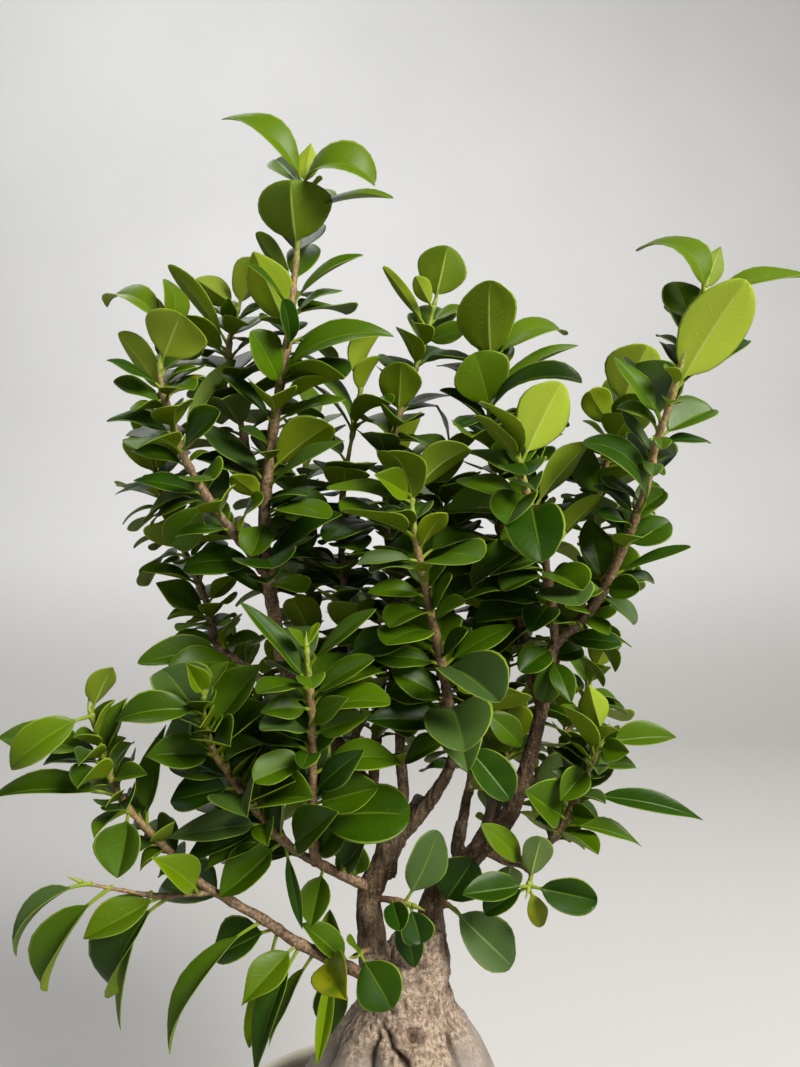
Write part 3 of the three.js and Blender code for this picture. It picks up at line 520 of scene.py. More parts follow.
# %% Soil materials
def peat(name, dark, light, film):
    """Fine grain from dark to light, under a film in patches."""
    material, start = new_material(name)
    place = object_place(start)
    grain = start.speckle(place, 900, 5, 0.65)
    patch = start.speckle(place, 60, 3)
    color = grain.step(0.35, 0.72).mix(dark, light)
    color = (patch.step(0.52, 0.68) * 0.5).mix(color, film)
    output(coat(color, grain * 0.3 + 0.62, {"Normal": bump(grain, 0.0006)}))
    return material


wet_peat = peat(
    "wet_peat", rgb(0.004, 0.004, 0.003), rgb(0.03, 0.024, 0.016), rgb(0.008, 0.014, 0.004),
)
bark_crumb = peat(
    "bark_crumb", rgb(0.012, 0.009, 0.006), rgb(0.075, 0.05, 0.03), rgb(0.014, 0.022, 0.006),
)
finish_piece(soil_body(), ["soil"], [wet_peat])
finish_piece(crumbs("soil_crumbs", CRUMBS, 5, (0.8, 2.6)), (), [wet_peat])
finish_piece(crumbs("bark_crumbs", CRUMBS // 3, 6, (1.2, 3.4)), (), [bark_crumb])

# %% [markdown]
# ## Swollen root and grafted limbs
# The root is a stack of rings whose radius swells and narrows with height. Deep creases run down it
# where its lobes grew together, so the radius is cut by a smooth dip at each crease. The limbs are
# tapering tubes along curves through a few points. All of them grew into one another, so the surfaces
# are joined by a voxel remesh, which melts the seams, and the bark is pushed out of that skin later.

# %% Curves
CHORDS = 200
TAPER = 1.5
POLE_OUT = 0.3


def curve(route, t):
    """Points of a Catmull-Rom curve through the route: a cubic on each span whose slope at a point
    is half the step between its neighbours."""
    p = np.asarray(route, float)
    p = np.vstack([2 * p[0] - p[1], p, 2 * p[-1] - p[-2]])
    spans = len(route) - 1
    x = np.clip(np.atleast_1d(np.asarray(t, float)), 0, 1) * spans
    i = np.minimum(x.astype(int), spans - 1)
    w = (x - i)[:, None]
    start, end = p[i + 1], p[i + 2]
    leave, arrive = (end - p[i]) / 2, (p[i + 3] - start) / 2
    bend = 3 * (end - start) - 2 * leave - arrive
    return start + leave * w + bend * w ** 2 + (2 * (start - end) + leave + arrive) * w ** 3


def unit(vectors):
    """Vectors of length one."""
    return vectors / np.linalg.norm(vectors, axis=-1, keepdims=True)


def frames(route, t):
    """Along the curve, towards the viewer and square to both, at each t."""
    t = np.atleast_1d(np.asarray(t, float))
    step = 1e-4
    grow = unit(curve(route, t + step) - curve(route, t - step))
    front = np.array([0.0, -1.0, 0.0])
    front = unit(front - grow * (grow @ front)[:, None])
    return grow, front, np.cross(grow, front)


def length_of(route):
    """Sum of many short chords."""
    points = curve(route, np.linspace(0, 1, CHORDS + 1))
    return np.linalg.norm(np.diff(points, axis=0), axis=1).sum()


def thickness(ends, t):
    """Radius: the end's, plus what the foot has more, times a power of the way that is left."""
    foot, end = ends
    return end + (foot - end) * (1 - np.asarray(t, float)) ** TAPER


def tube_points(route, t, radius, sides):
    """Rings round the curve, with a radius for each t, and a pole point just past each end."""
    grow, front, right = frames(route, t)
    centre = curve(route, t)
    angle = (np.arange(sides) * 2 * np.pi / sides)[:, None]
    around = front[:, None] * np.cos(angle) + right[:, None] * np.sin(angle)
    rings = centre[:, None] + around * radius[:, None, None]
    poles = np.stack([centre[0] - grow[0] * POLE_OUT, centre[-1] + grow[-1] * POLE_OUT])
    return np.concatenate([rings.reshape(-1, 3), poles])


print("chords that measure a curve:", CHORDS)

# %% [markdown]
# The root's rings are given by height, radius and how far their middle stands to the right. A crease
# has its depth as a share of the radius, its half width in degrees and its way down as height and
# angle. A limb has its radius at both ends and its route, measured from the middle of the root.

# %% Root and limb sizes
BULB = [
    (60, 30, 0), (80, 52, 0), (112, 66, 0), (130, 69.5, 0), (147, 68, 0), (159, 62.5, 0.5),
    (168, 57, 1), (177, 51.5, 1.8), (186, 45, 3), (195, 36.5, 3.8), (203, 29, 4),
    (213, 25.4, 4), (224, 24.4, 5), (236, 20.5, 8.8), (246, 15, 13), (251, 11.5, 14.5),
]
CREASES = [
    (0.2, 9, [(205, -36), (192, -33), (150, -28), (60, -26)]),
    (0.16, 8, [(208, -31), (200, -18), (193, -3), (180, 6), (60, 8)]),
    (0.19, 9, [(204, 43), (185, 50), (150, 46), (60, 42)]),
    (0.15, 12, [(196, 98), (60, 88)]), (0.13, 12, [(202, 136), (60, 142)]),
    (0.16, 12, [(204, 182), (60, 190)]), (0.13, 12, [(198, 246), (60, 240)]),
    (0.15, 12, [(196, 284), (60, 292)]),
]
CREASE_FADE = 14
LIMBS = [
    ((10, 6.4), [(-6, 0, 201), (-14, -10, 233), (-17, -14, 259), (-18, -12, 275),
                 (-11, -8, 291), (-2, -4, 306)]),
    ((5.2, 3.4), [(-2, -4, 306), (12, -8, 322), (24, -14, 341), (32, -22, 360)]),
    ((5.8, 4.6), [(-2, -2, 305), (-17, 10, 327), (-40, 18, 356), (-60, 18, 380),
                  (-72, 12, 409)]),
    ((8.8, 3.5), [(12, 4, 214), (19, 4, 244), (19, 4, 262), (29, 6, 278),
                  (47, 6, 294), (64, 4, 314), (73, 2, 336), (80, 0, 360), (84, -2, 382),
                  (87, -6, 404)]),
    ((5, 4), [(47, 6, 294), (54, 12, 307), (59, 16, 323)]),
    ((4.6, 3.8), [(38, 6, 285), (35, 10, 296), (39, 12, 311)]),
    ((4.8, 4), [(0, -4, 309), (7, 0, 318), (13, 2, 328)]),
    ((7.2, 6), [(-9, -7, 286), (-8, -9, 300), (-6, -10, 314)]),
]
TORN_FLAP = [(21, -6, 228), (24.6, -7, 243), (25.4, -6, 256)]
FLAP_ENDS = (3.4, 0.7)
BULB_ROWS, BULB_SIDES = 150, 220
LIMB_STEP, LIMB_SIDES = 2, 20
FLAP_ROWS, FLAP_SIDES = 14, 12
REMESH_SIZE = 1.15
print("limbs:", len(LIMBS), "- creases:", len(CREASES))

# %% Root and limbs in one skin
def wrapped(degrees):
    """The same turn as an angle between -180 and 180 degrees."""
    return (degrees + 540) % 360 - 180


def crease_share(angle, z):
    """Share of the radius left: one, less a bell-shaped dip at each crease. The angle of a crease is
    read off its way by height, and its depth fades out below its upper end."""
    share = np.ones_like(angle + z)
    for deep, wide, way in CREASES:
        height, turn = np.array(way[::-1], float).T
        depth = deep * (1 - smoothstep(height[-1] - CREASE_FADE, height[-1], z))
        away = wrapped(angle - np.interp(z, height, turn))
        share = share - depth * np.exp(-(away / wide) ** 2)
    return share


def bulb_points():
    """The ring table read by a smooth curve, times the crease share."""
    z, radius, shift = curve(BULB, np.linspace(0, 1, BULB_ROWS)).T[:, :, None]
    angle = np.arange(BULB_SIDES)[None] * 360 / BULB_SIDES
    radius = radius * crease_share(angle, z)
    turn = np.radians(angle)
    body = np.stack([shift + radius * np.sin(turn), -radius * np.cos(turn), z + 0 * angle], -1)
    poles = [[0, 0, BULB[0][0]], [BULB[-1][2], 0, BULB[-1][0]]]
    return np.concatenate([body.reshape(-1, 3), poles])


def joined_trunk():
    """The bulb, the limbs and a torn flap of bark as one mesh, melted together on a voxel grid."""
    points = [bulb_points()]
    faces = [ring_faces(BULB_ROWS, BULB_SIDES)]
    tubes = [
        (ends, route, max(8, round(length_of(route) / LIMB_STEP)), LIMB_SIDES)
        for ends, route in LIMBS
    ]
    tubes.append((FLAP_ENDS, TORN_FLAP, FLAP_ROWS, FLAP_SIDES))
    for ends, route, rows, sides in tubes:
        t = np.linspace(0, 1, rows)
        points.append(tube_points(route, t, thickness(ends, t), sides))
        faces.append(ring_faces(rows, sides))
    starts = np.cumsum([0] + [len(p) for p in points])
    quads = np.concatenate([f[0] + s for f, s in zip(faces, starts)])
    triangles = np.concatenate([f[1] + s for f, s in zip(faces, starts)])
    raw = make_mesh("trunk", np.concatenate(points) + PLANT, quads, triangles)
    melt = raw.modifiers.new("melt", "REMESH")
    melt.mode = "VOXEL"
    melt.voxel_size = REMESH_SIZE * MM
    return settled(raw)


print("points of the swollen root:", len(bulb_points()))

# %% [markdown]
# Bark is rough where the wood is oldest: on the neck and between the front lobes it flakes into small
# plates, and on the limbs it splits along the grain. The lobes themselves are smooth skin with fine
# wrinkles. Each kind of relief is noise at its own size, and a mask says where it shows. A ridge is
# one less twice the size of the noise, so it is sharp where the noise changes sign.

# %% Where the bark is rough, cracked, knotted or cut
ROUGH_START, ROUGH_FULL = 178, 204
ROUGH_MIDDLE, ROUGH_TURN, ROUGH_WIDE, ROUGH_DOWN = 3, 14, 22, 30
CRACK_MIDDLE, CRACK_DEEP, CRACK_WIDE = 4, 2.4, 1.7
KNOT = np.array([7, -31, 203])
KNOT_OVAL = np.array([0.85, 1, 1.15])
KNOT_RING = 7
CUT_ENDS = np.array([(59, 16, 324), (39, 12, 312), (13, 2, 329), (-6, -10, 315)])
CUT_REACH = 5.5


def rough_share(points):
    """1 on the neck and limbs, reaching lower down at the front middle than at the sides."""
    x, y, z = points.T
    angle = np.degrees(np.arctan2(x - ROUGH_MIDDLE, -y))
    reach = ROUGH_DOWN * np.exp(-((angle - ROUGH_TURN) / ROUGH_WIDE) ** 2)
    wander = noise(points, 9, 11) * 8
    return smoothstep(ROUGH_START, ROUGH_FULL, z + reach + wander)


def crack_depth(points):
    """A narrow cut along the bottom of each crease, bell-shaped across, that wanders by noise."""
    x, y, z = points.T
    angle = np.degrees(np.arctan2(x - CRACK_MIDDLE, -y))
    wander = noise(points, 8, 26) * 4
    depth = np.zeros(len(points))
    for _, _, way in CREASES:
        height, turn = np.array(way[::-1], float).T
        full = 1 - smoothstep(height[-1] - 8, height[-1] + 1, z)
        away = wrapped(angle - np.interp(z, height, turn) + wander)
        across = np.radians(away) * np.hypot(x - CRACK_MIDDLE, y)
        depth += CRACK_DEEP * full * np.exp(-(across / CRACK_WIDE) ** 2)
    return depth


def knot_distance(points):
    """Distance from the middle of the knot, an oval a little wider than high."""
    return np.linalg.norm((points - KNOT) * KNOT_OVAL, axis=1)


def cut_share(points):
    """1 at the ends of the stubs, where old cuts show pale dead wood."""
    away = np.linalg.norm(points[:, None] - CUT_ENDS, axis=2).min(axis=1)
    return np.exp(-(away / CUT_REACH) ** 2)


print("old cuts:", len(CUT_ENDS))

# %% Bark relief
def ridge(points, size, seed, stretch=1.0):
    """Sharpened noise, drawn out upwards by the stretch."""
    return 1 - 2 * np.abs(noise(points * np.array([1, 1, 1 / stretch]), size, seed))


def bark_relief(points):
    """Flakes on the neck, grain up the limbs, wrinkles and long dents on the lobes, and one knot."""
    rough = rough_share(points)
    limb = smoothstep(240, 258, points[:, 2])
    swirl = points + 2.4 * np.stack([noise(points, 7, seed) for seed in (21, 22, 23)], -1)
    flakes = ridge(swirl, 5.2, 12, 1.7) * 1.1 + ridge(swirl, 2.6, 13, 1.5) * 0.75
    grain = ridge(swirl, 2.6, 14, 5) * 0.5 + noise(points * np.array([1, 1, 0.3]), 5, 15) * 0.6
    wrinkle = ridge(points * np.array([0.4, 0.4, 1]), 3.4, 16, 0.7) * 0.12
    dents = noise(points * np.array([1, 1, 0.35]), 9, 17) * 0.55 + noise(points, 21, 24) * 1.1
    relief = (1 - rough) * (wrinkle + dents)
    relief += rough * (1 - limb) * (flakes * 0.85 + noise(points, 10, 18) * 1.5)
    relief += limb * (grain + flakes * 0.12 + noise(points, 13, 25) * 0.6)
    away = knot_distance(points)
    relief += 2.2 * np.exp(-((away - KNOT_RING) / 2.1) ** 2) - 2.2 * np.exp(-(away / 3.6) ** 2)
    relief += 0.7 * np.sin(away * 2.1) * np.exp(-(away / 5) ** 2)
    return relief - crack_depth(points)


def grow_bark(piece):
    """Moves every point along its normal by the relief, and keeps the tone masks in attributes."""
    count = len(piece.data.vertices)
    points, normals = np.zeros(count * 3, np.float32), np.zeros(count * 3, np.float32)
    piece.data.vertices.foreach_get("co", points)
    piece.data.vertices.foreach_get("normal", normals)
    points, normals = points.reshape(-1, 3) / MM, normals.reshape(-1, 3)
    plant = points - PLANT
    relief = bark_relief(plant)
    piece.data.vertices.foreach_set("co", ((points + normals * relief[:, None]) * MM).ravel())
    limb = smoothstep(238, 262, plant[:, 2] + noise(plant, 10, 19) * 6)
    lift = relief * 0.22 + 0.5
    knot = np.exp(-(knot_distance(plant) / 6) ** 2)
    for name, masks in (
        ("bark", (rough_share(plant), limb, lift)),
        ("bark_cut", (cut_share(plant), knot, np.zeros(count))),
    ):
        keep_values(piece.data, name, "POINT", np.stack(masks, -1))
    piece.data.update()
    print("bark relief from", relief.min().round(2), "to", relief.max().round(2), "mm")
    return piece


# %% [markdown]
# The smooth skin is pale grey-beige with darker clouds and fine upright streaks. The neck is warmer and
# mottled, with shade in its cracks, and the limbs turn to dark grey-brown grain with pale specks of
# cork. Old cuts are pale grey.

# %% Bark materials
def stretched(place, factor):
    """The place with its height scaled, so that speckles on it are drawn out upwards."""
    x, y, z = parts_of(place)
    return place.node("ShaderNodeCombineXYZ", None, {0: x, 1: y, 2: z * factor})


def warped(place, scale, reach):
    """The place pushed about by noise, by at most half the reach in metres each way."""
    values = {"Vector": place, "Scale": scale, "Detail": 2.0}
    push = place.node("ShaderNodeTexNoise", None, values, 1)
    half = (0.5, 0.5, 0.5)
    push = place.node("ShaderNodeVectorMath", {"operation": "SUBTRACT"}, {0: push, 1: half})
    return place.node("ShaderNodeVectorMath", {"operation": "MULTIPLY_ADD"}, {
        0: push, 1: (reach, reach, reach), 2: place,
    })


def skin_color(cloud, streak, lift):
    """Clouds of grey-beige, then upright streaks, then shade in the dips."""
    color = cloud.step(0.32, 0.68).mix(rgb(0.25, 0.216, 0.188), rgb(0.155, 0.128, 0.105))
    color = (streak.step(0.48, 0.7) * 0.45).mix(color, rgb(0.12, 0.095, 0.07))
    return (lift.step(0.5, 0.2) * 0.5).mix(color, rgb(0.1, 0.075, 0.053))


def flaky_color(fine, streak, lift, crack, knot):
    """Warm mottled flakes, then dark cracks, shade in the dips and the dark wood of the knot."""
    flakes = (fine * 0.6 + streak * 0.4).step(0.38, 0.6)
    color = flakes.mix(rgb(0.155, 0.108, 0.073), rgb(0.42, 0.322, 0.238))
    color = (crack * 0.5).mix(color, rgb(0.075, 0.046, 0.028))
    color = (lift.step(0.6, 0.26) * 0.75).mix(color, rgb(0.055, 0.033, 0.019))
    dark_wood = streak.step(0.4, 0.6).mix(rgb(0.05, 0.025, 0.014), rgb(0.16, 0.095, 0.06))
    return (knot * 0.85).mix(color, dark_wood)


def cork_color(cloud, fine, streak, specks, lift):
    """Dark upright grain, then grey clouds, shade in the dips and pale specks."""
    grain = (streak * 0.7 + fine * 0.3).step(0.38, 0.66)
    color = grain.mix(rgb(0.022, 0.0118, 0.004), rgb(0.135, 0.08, 0.036))
    color = (cloud.step(0.52, 0.68) * 0.4).mix(color, rgb(0.165, 0.125, 0.08))
    color = (lift.step(0.5, 0.2) * 0.6).mix(color, rgb(0.018, 0.011, 0.006))
    return (specks.step(0.6, 0.68) * 0.55).mix(color, rgb(0.3, 0.21, 0.125))


def bark_material():
    """Skin, flaky bark, cork and dead wood, laid over one another by the masks."""
    material, start = new_material("root_bark")
    place = object_place(start)
    rough, limb, lift = kept_values(start, "bark")
    cut, knot = kept_values(start, "bark_cut")[:2]
    upright = stretched(place, 0.22)
    cloud = start.speckle(place, 40, 4)
    fine = start.speckle(place, 380, 6, 0.7)
    streak = start.speckle(upright, 420, 5, 0.65)
    specks = start.speckle(place, 700, 2)
    cells = start.node("ShaderNodeTexVoronoi", {"feature": "DISTANCE_TO_EDGE"}, {
        "Vector": stretched(warped(place, 240, 0.012), 0.5), "Scale": 330,
    })
    crack = cells.step(0.2, 0.02) * fine.step(0.62, 0.42)
    skin = skin_color(cloud, streak, lift)
    color = rough.mix(skin, flaky_color(fine, streak, lift, crack, knot))
    color = limb.mix(color, cork_color(cloud, fine, streak, specks, lift))
    dead_wood = streak.step(0.35, 0.7).mix(rgb(0.16, 0.14, 0.115), rgb(0.36, 0.33, 0.29))
    color = (cut * 0.8).mix(color, dead_wood)
    normal = bump(fine * (rough * 0.9 + 0.3) + streak * (limb * 0.7 + 0.25), 0.0017)
    output(coat(color, fine * 0.2 + 0.68, {"Specular IOR Level": 0.35, "Normal": normal}))
    return material


root_bark = bark_material()
finish_piece(grow_bark(joined_trunk()), ["trunk"], [root_bark])

# %% [markdown]
# ## Where the leafy stems and their leaves are
# A grower would sketch each shoot: the way it takes, and each leaf by its place along the shoot, the
# way from its foot to its tip, its width, the way that its upper side faces and how much it bends. The
# same sketch made the plain solids, in millimetres, so the fine leaves grow in the same places. Leaves
# that the sketch doesn't name follow a growth rule: round the stem by the golden angle.

# %% Sketch of the shoots
FACES = {
    "away": (0, 1, 0.3), "away_l": (-0.6, 0.8, 0.3), "away_r": (0.6, 0.8, 0.3),
    "viewer": (0, -1, 0.35), "viewer_l": (-0.5, -0.8, 0.35), "viewer_r": (0.5, -0.8, 0.35),
    "viewer_u": (0, -0.7, 0.7), "left_up": (-0.7, -0.5, 0.4), "left_over": (-0.5, -0.75, 0.4),
    "up": (0, -0.55, 0.85), "up_l": (-0.5, -0.6, 0.7), "up_r": (0.5, -0.6, 0.7),
    "over_l": (-0.35, -0.75, 0.65), "over_r": (0.35, -0.75, 0.65),
}
STEMS = {
    "left_tall": dict(thick=(4.6, 1.5), more=8, route=[
        (-72, 12, 409), (-77, 7, 440), (-81, 3, 471), (-81, 0, 504), (-77, -4, 537), (-71, -8, 573),
        (-65, -10, 607), (-62, -12, 636), (-59, -14, 661), (-56, -15, 688),
    ], leaves=[
        (0.84, -1, -18, 36, 44, "away", 22), (0.985, -45, -12, 38, 26, "over_r", 105),
        (0.99, 42, -14, -1, 31, "over_l", 150), (1, 4, 2, 27, 14, "away", 20),
        (0.995, -18, 14, 24, 21, "viewer", 25), (0.935, 54, 4, 12, 19, "up", 45),
        (0.75, -23, 8, 37, 13, "away_r", 22), (0.755, 7, 20, 33, 20, "viewer", 25),
        (0.72, 42, -6, 27, 16, "up_l", 45), (0.685, 30, 8, 20, 15, "up_l", 60),
        (0.655, -18, -16, 44, 27, "away", 30), (0.69, -23, -22, 25, 11, "up_r", 45),
        (0.625, 1, -22, 24, 17, "viewer_r", 50), (0.565, 67, -14, 24, 27, "over_l", 95),
        (0.635, 50, 14, 12, 17, "up", 45), (0.55, -13, -22, 30, 24, "viewer_r", 50),
        (0.485, -29, -12, 29, 15, "up_r", 45), (0.395, 39, -16, 28, 29, "away_l", 40),
        (0.375, -37, -12, 32, 25, "up_r", 35), (0.49, 43, -6, 14, 17, "up", 40),
        (0.44, -16, -16, 12, 11, "up_r", 60), (0.36, 47, 2, 31, 16, "up_l", 40),
        (0.34, -15, -26, 14, 15, "away", 30), (0.21, 46, -6, 31, 24, "up_l", 40),
        (0.3, -4, -22, -20, 21, "viewer", 30), (0.205, -46, -16, 1, 24, "over_r", 65),
        (0.13, -33, -10, 24, 17, "up_r", 45),
    ]),
    "left_outer": dict(thick=(3, 1.4), more=3, route=[
        (-83, 3, 464), (-89, -3, 475), (-100, -10, 490), (-110, -16, 505), (-121, -22, 525),
        (-126, -26, 539), (-133, -30, 564), (-135, -32, 580), (-131, -33, 598),
    ], leaves=[
        (0.885, 16, -16, 25, 36, "away", 20), (0.995, -31, -6, 15, 22, "over_r", 145),
        (0.985, -11, 8, 26, 12, "away_r", 30), (0.74, -29, 8, 40, 21, "away_r", 25),
        (0.775, -35, 10, 19, 15, "up", 40), (0.72, -31, 2, 15, 14, "viewer_u", 40),
        (0.635, -37, -10, 9, 19, "up", 65), (0.58, 25, -16, 21, 22, "viewer_l", 35),
        (0.6, 29, 12, 53, 17, "away_l", 30), (0.495, -36, 8, 11, 16, "up", 45),
        (0.395, -39, -12, 9, 17, "up_r", 40), (0.39, -25, 12, -27, 23, "viewer_r", 30),
        (0.42, -54, 10, -2, 15, "up", 45), (0.235, -31, -10, -3, 13, "up", 45),
    ]),
    "left_inner": dict(thick=(2.4, 1.2), more=8, route=[
        (-81, 2, 495), (-94, 14, 538), (-103, 18, 576), (-106, 18, 605), (-100, 16, 627),
    ], leaves=[
        (0.725, -34, -14, 47, 15, "away_r", 25), (0.995, -25, -6, 16, 18, "away", 35),
        (0.85, 0, -10, 16, 11, "viewer", 30), (0.875, 26, -6, 12, 12, "up_l", 40),
    ]),
    "left_rear": dict(thick=(3.4, 1.3), more=9, route=[
        (-60, 18, 380), (-95, 26, 400), (-116, 32, 416), (-124, 36, 442), (-135, 38, 467),
        (-149, 40, 496), (-157, 40, 522), (-160, 38, 541),
    ], leaves=[
        (0.385, -33, -6, 22, 22, "over_r", 50), (0.495, -34, -10, 10, 17, "up", 35),
        (0.28, -30, -6, 1, 14, "up", 90), (0.425, 19, -8, 19, 15, "away_l", 30),
        (0.255, 26, -10, 9, 16, "up", 60), (0.215, -53, -20, 0, 21, "over_r", 70),
        (0.16, -41, -26, 4, 22, "over_r", 60),
    ]),
    "left_low": dict(thick=(3.5, 1.1), more=2, route=[
        (-13, -14, 224), (-29, -24, 239), (-57, -36, 259), (-74, -42, 274), (-93, -48, 288),
        (-108, -53, 300), (-119, -58, 315), (-132, -62, 330), (-145, -66, 348), (-152, -68, 364),
        (-156, -70, 380), (-160, -70, 394),
    ], leaves=[
        (0.995, 14, -8, 26, 15, "away_l", 50), (0.99, -37, -10, -25, 20, "over_r", 115),
        (0.86, -58, 6, 8, 20, "over_r", 55), (0.735, -67, -4, 0, 14, "up_r", 75),
        (0.845, 10, 6, 32, 16, "viewer_l", 25), (0.78, 21, -10, 7, 11, "up_l", 60),
        (0.7, -3, -10, -32, 24, "viewer", 20), (0.645, 9, 4, 54, 17, "viewer_l", 30),
        (0.275, -49, -12, -67, 18, "left_up", 80), (0.24, -39, 10, -22, 25, "viewer_u", 45),
        (0.18, -28, -22, -23, 19, "viewer_u", 45), (0.175, -23, -14, -65, 18, "left_over", 50),
        (0.15, -27, 4, -56, 12, "left_up", 25), (0.09, -27, -8, 29, 17, "up_r", 35),
        (0.12, -1, -6, -39, 19, "viewer", 30), (0.135, 14, -24, -12, 23, "viewer", 20),
        (0.09, -12, 8, 30, 15, "viewer_l", 40), (0.12, -7, -26, -44, 9, "viewer", 30),
        (0.235, -20, 22, -79, 11, "viewer", 30),
    ]),
    "left_low_side": dict(thick=(1.4, 0.8), more=0, route=[
        (-101, -50, 293), (-124, -62, 296), (-141, -70, 302), (-153, -76, 307), (-161, -80, 311),
    ], leaves=[
        (0.875, -34, -8, -33, 14, "left_up", 110), (0.65, -33, 2, -54, 19, "left_over", 85),
        (0.25, -37, -16, -15, 19, "viewer_u", 40), (0.21, -23, -14, -43, 26, "left_over", 115),
        (0.34, -20, 14, -79, 10, "left_over", 30), (0.08, -21, -14, 25, 19, "viewer_u", 60),
    ]),
    "left_mid": dict(thick=(3.3, 1.1), more=3, route=[
        (-14, -12, 278), (-33, -22, 291), (-46, -32, 302), (-58, -40, 312), (-71, -48, 328),
        (-84, -56, 349), (-96, -62, 369), (-102, -66, 387), (-102, -68, 403),
    ], leaves=[
        (0.99, -7, -10, 20, 12, "viewer_r", 20), (0.99, 14, -6, 20, 12, "viewer_l", 20),
        (0.92, -43, -10, -2, 18, "over_r", 110), (0.835, 29, -6, 38, 26, "viewer_l", 25),
        (0.755, -33, -16, 4, 20, "over_r", 65), (0.5, -51, -16, -1, 18, "up_r", 65),
        (0.49, -46, -10, -18, 17, "up", 50), (0.43, -33, -12, -26, 24, "viewer_u", 35),
        (0.435, 3, -16, 36, 14, "viewer_l", 30), (0.38, 26, -22, 28, 23, "viewer_l", 35),
        (0.22, -6, -12, -29, 17, "viewer", 25), (0.425, 9, 6, -51, 7, "viewer", 30),
        (0.64, -39, 8, -10, 24, "viewer_u", 45), (0.73, 24, -14, 14, 14, "up_l", 50),
        (0.13, 19, -14, 36, 24, "viewer_l", 35), (0.07, -2, -20, 32, 20, "viewer", 30),
    ]),
    "front": dict(thick=(3.4, 1.3), more=3, route=[
        (-47, -33, 303), (-47, -52, 327), (-46, -64, 352), (-45, -72, 381), (-46, -74, 406),
        (-48, -76, 429),
    ], leaves=[
        (0.025, 20, -16, 31, 27, "viewer_l", 40), (0.805, -34, -10, 46, 15, "up_r", 25),
        (0.905, 35, -8, 31, 14, "up_l", 30), (0.985, -8, -10, 13, 8, "up_r", 30),
        (0.985, 7, -6, 15, 8, "up_l", 30), (0.765, 33, -14, 23, 17, "up_l", 35),
        (0.615, 29, -14, 13, 15, "viewer_l", 40), (0.655, 20, -24, 19, 13, "viewer_l", 40),
        (0.72, -24, -14, 2, 15, "up_r", 55), (0.52, -28, -16, -6, 19, "viewer_u", 40),
        (0.38, 28, -16, 28, 18, "viewer_l", 35), (0.335, 35, -12, 13, 22, "viewer_l", 40),
        (0.55, -36, 8, 4, 13, "up", 45),
    ]),
    "centre": dict(thick=(3.4, 1.4), more=3, route=[
        (32, -22, 360), (31, -28, 376), (27, -34, 392), (24, -40, 409), (20, -46, 429), (15, -52, 451),
        (11, -56, 470), (7, -58, 494), (6, -58, 506),
    ], leaves=[
        (0.985, 30, -8, 27, 22, "away_l", 90), (0.97, -44, -16, 7, 15, "up", 30),
        (1, -19, -18, 11, 17, "viewer", 40), (0.785, 13, -16, 21, 18, "away_l", 30),
        (0.76, -33, -10, -1, 14, "up", 40), (0.63, -32, -6, 4, 14, "up_r", 65),
        (0.575, 10, -18, 23, 15, "up_l", 30), (0.555, 16, -22, 13, 13, "up_l", 50),
        (0.41, -39, -12, 7, 17, "up_r", 40), (0.425, 13, -20, 19, 15, "up_l", 40),
        (0.4, 40, 2, 23, 18, "up_l", 35), (0.255, -31, -10, 18, 22, "viewer_u", 45),
        (0.135, -49, -18, 8, 22, "viewer_u", 45), (0.08, -29, 6, -16, 19, "up", 50),
    ]),
    "centre_side": dict(thick=(2.4, 1.4), more=2, route=[
        (33, -20, 363), (39, -14, 374), (46, -8, 389), (50, -4, 405),
    ], leaves=[
        (0.115, 27, -14, -29, 24, "viewer_u", 35), (0.6, 28, 6, -26, 18, "up_l", 45),
        (0.97, -16, -14, -7, 15, "viewer", 40),
    ]),
    "centre_top": dict(thick=(4, 1.4), more=8, route=[
        (-1, -2, 310), (2, 12, 329), (0, 22, 356), (1, 26, 414), (-3, 32, 451), (-8, 30, 489),
        (-9, 28, 524), (-4, 26, 550), (6, 22, 580), (15, 19, 604), (21, 16, 628),
    ], leaves=[
        (1, 8, -6, 35, 31, "away", 22), (0.99, -11, -12, 17, 12, "away", 20),
        (0.935, -28, 2, 41, 9, "away_r", 22), (0.905, 24, -10, 6, 16, "viewer", 40),
        (0.95, 23, 8, 14, 14, "up", 40), (0.73, 2, -14, 33, 27, "away", 30),
    ]),
    "centre_left": dict(thick=(3, 1.3), more=11, route=[
        (-32, 13, 343), (-28, 24, 360), (-22, 30, 381), (-31, 34, 412), (-35, 34, 440), (-37, 32, 470),
        (-38, 30, 489), (-35, 26, 521), (-29, 22, 552), (-24, 18, 579),
    ], leaves=[]),
    "centre_rear": dict(thick=(3.4, 1.3), more=10, route=[
        (38, 12, 309), (41, 16, 322), (45, 22, 340), (39, 30, 381), (35, 36, 419), (30, 38, 463),
        (28, 36, 489), (26, 34, 515), (33, 32, 543),
    ], leaves=[]),
    "right_tall": dict(thick=(3.5, 1.4), more=5, route=[
        (87, -6, 404), (92, -8, 422), (107, -18, 439), (116, -26, 455), (122, -32, 471),
        (129, -40, 493), (135, -48, 516), (137, -56, 536), (142, -64, 557), (150, -70, 590),
        (156, -74, 613),
    ], leaves=[
        (0.805, 30, -22, 55, 35, "away", 18), (0.96, -34, -10, 25, 34, "over_r", 150),
        (0.985, 11, 4, 26, 13, "away", 20), (0.96, 55, -6, 13, 21, "up", 45),
        (0.91, -4, 12, 28, 21, "viewer", 25), (0.815, 41, 6, 28, 18, "over_l", 28),
        (0.745, -27, -4, 35, 18, "viewer_r", 28), (0.705, 34, 12, 18, 22, "viewer_l", 40),
        (0.685, 28, -4, 2, 12, "up", 60), (0.515, -33, -16, 39, 24, "over_r", 135),
        (0.645, -14, 10, 29, 12, "viewer_r", 35), (0.485, 18, 16, 27, 16, "viewer", 30),
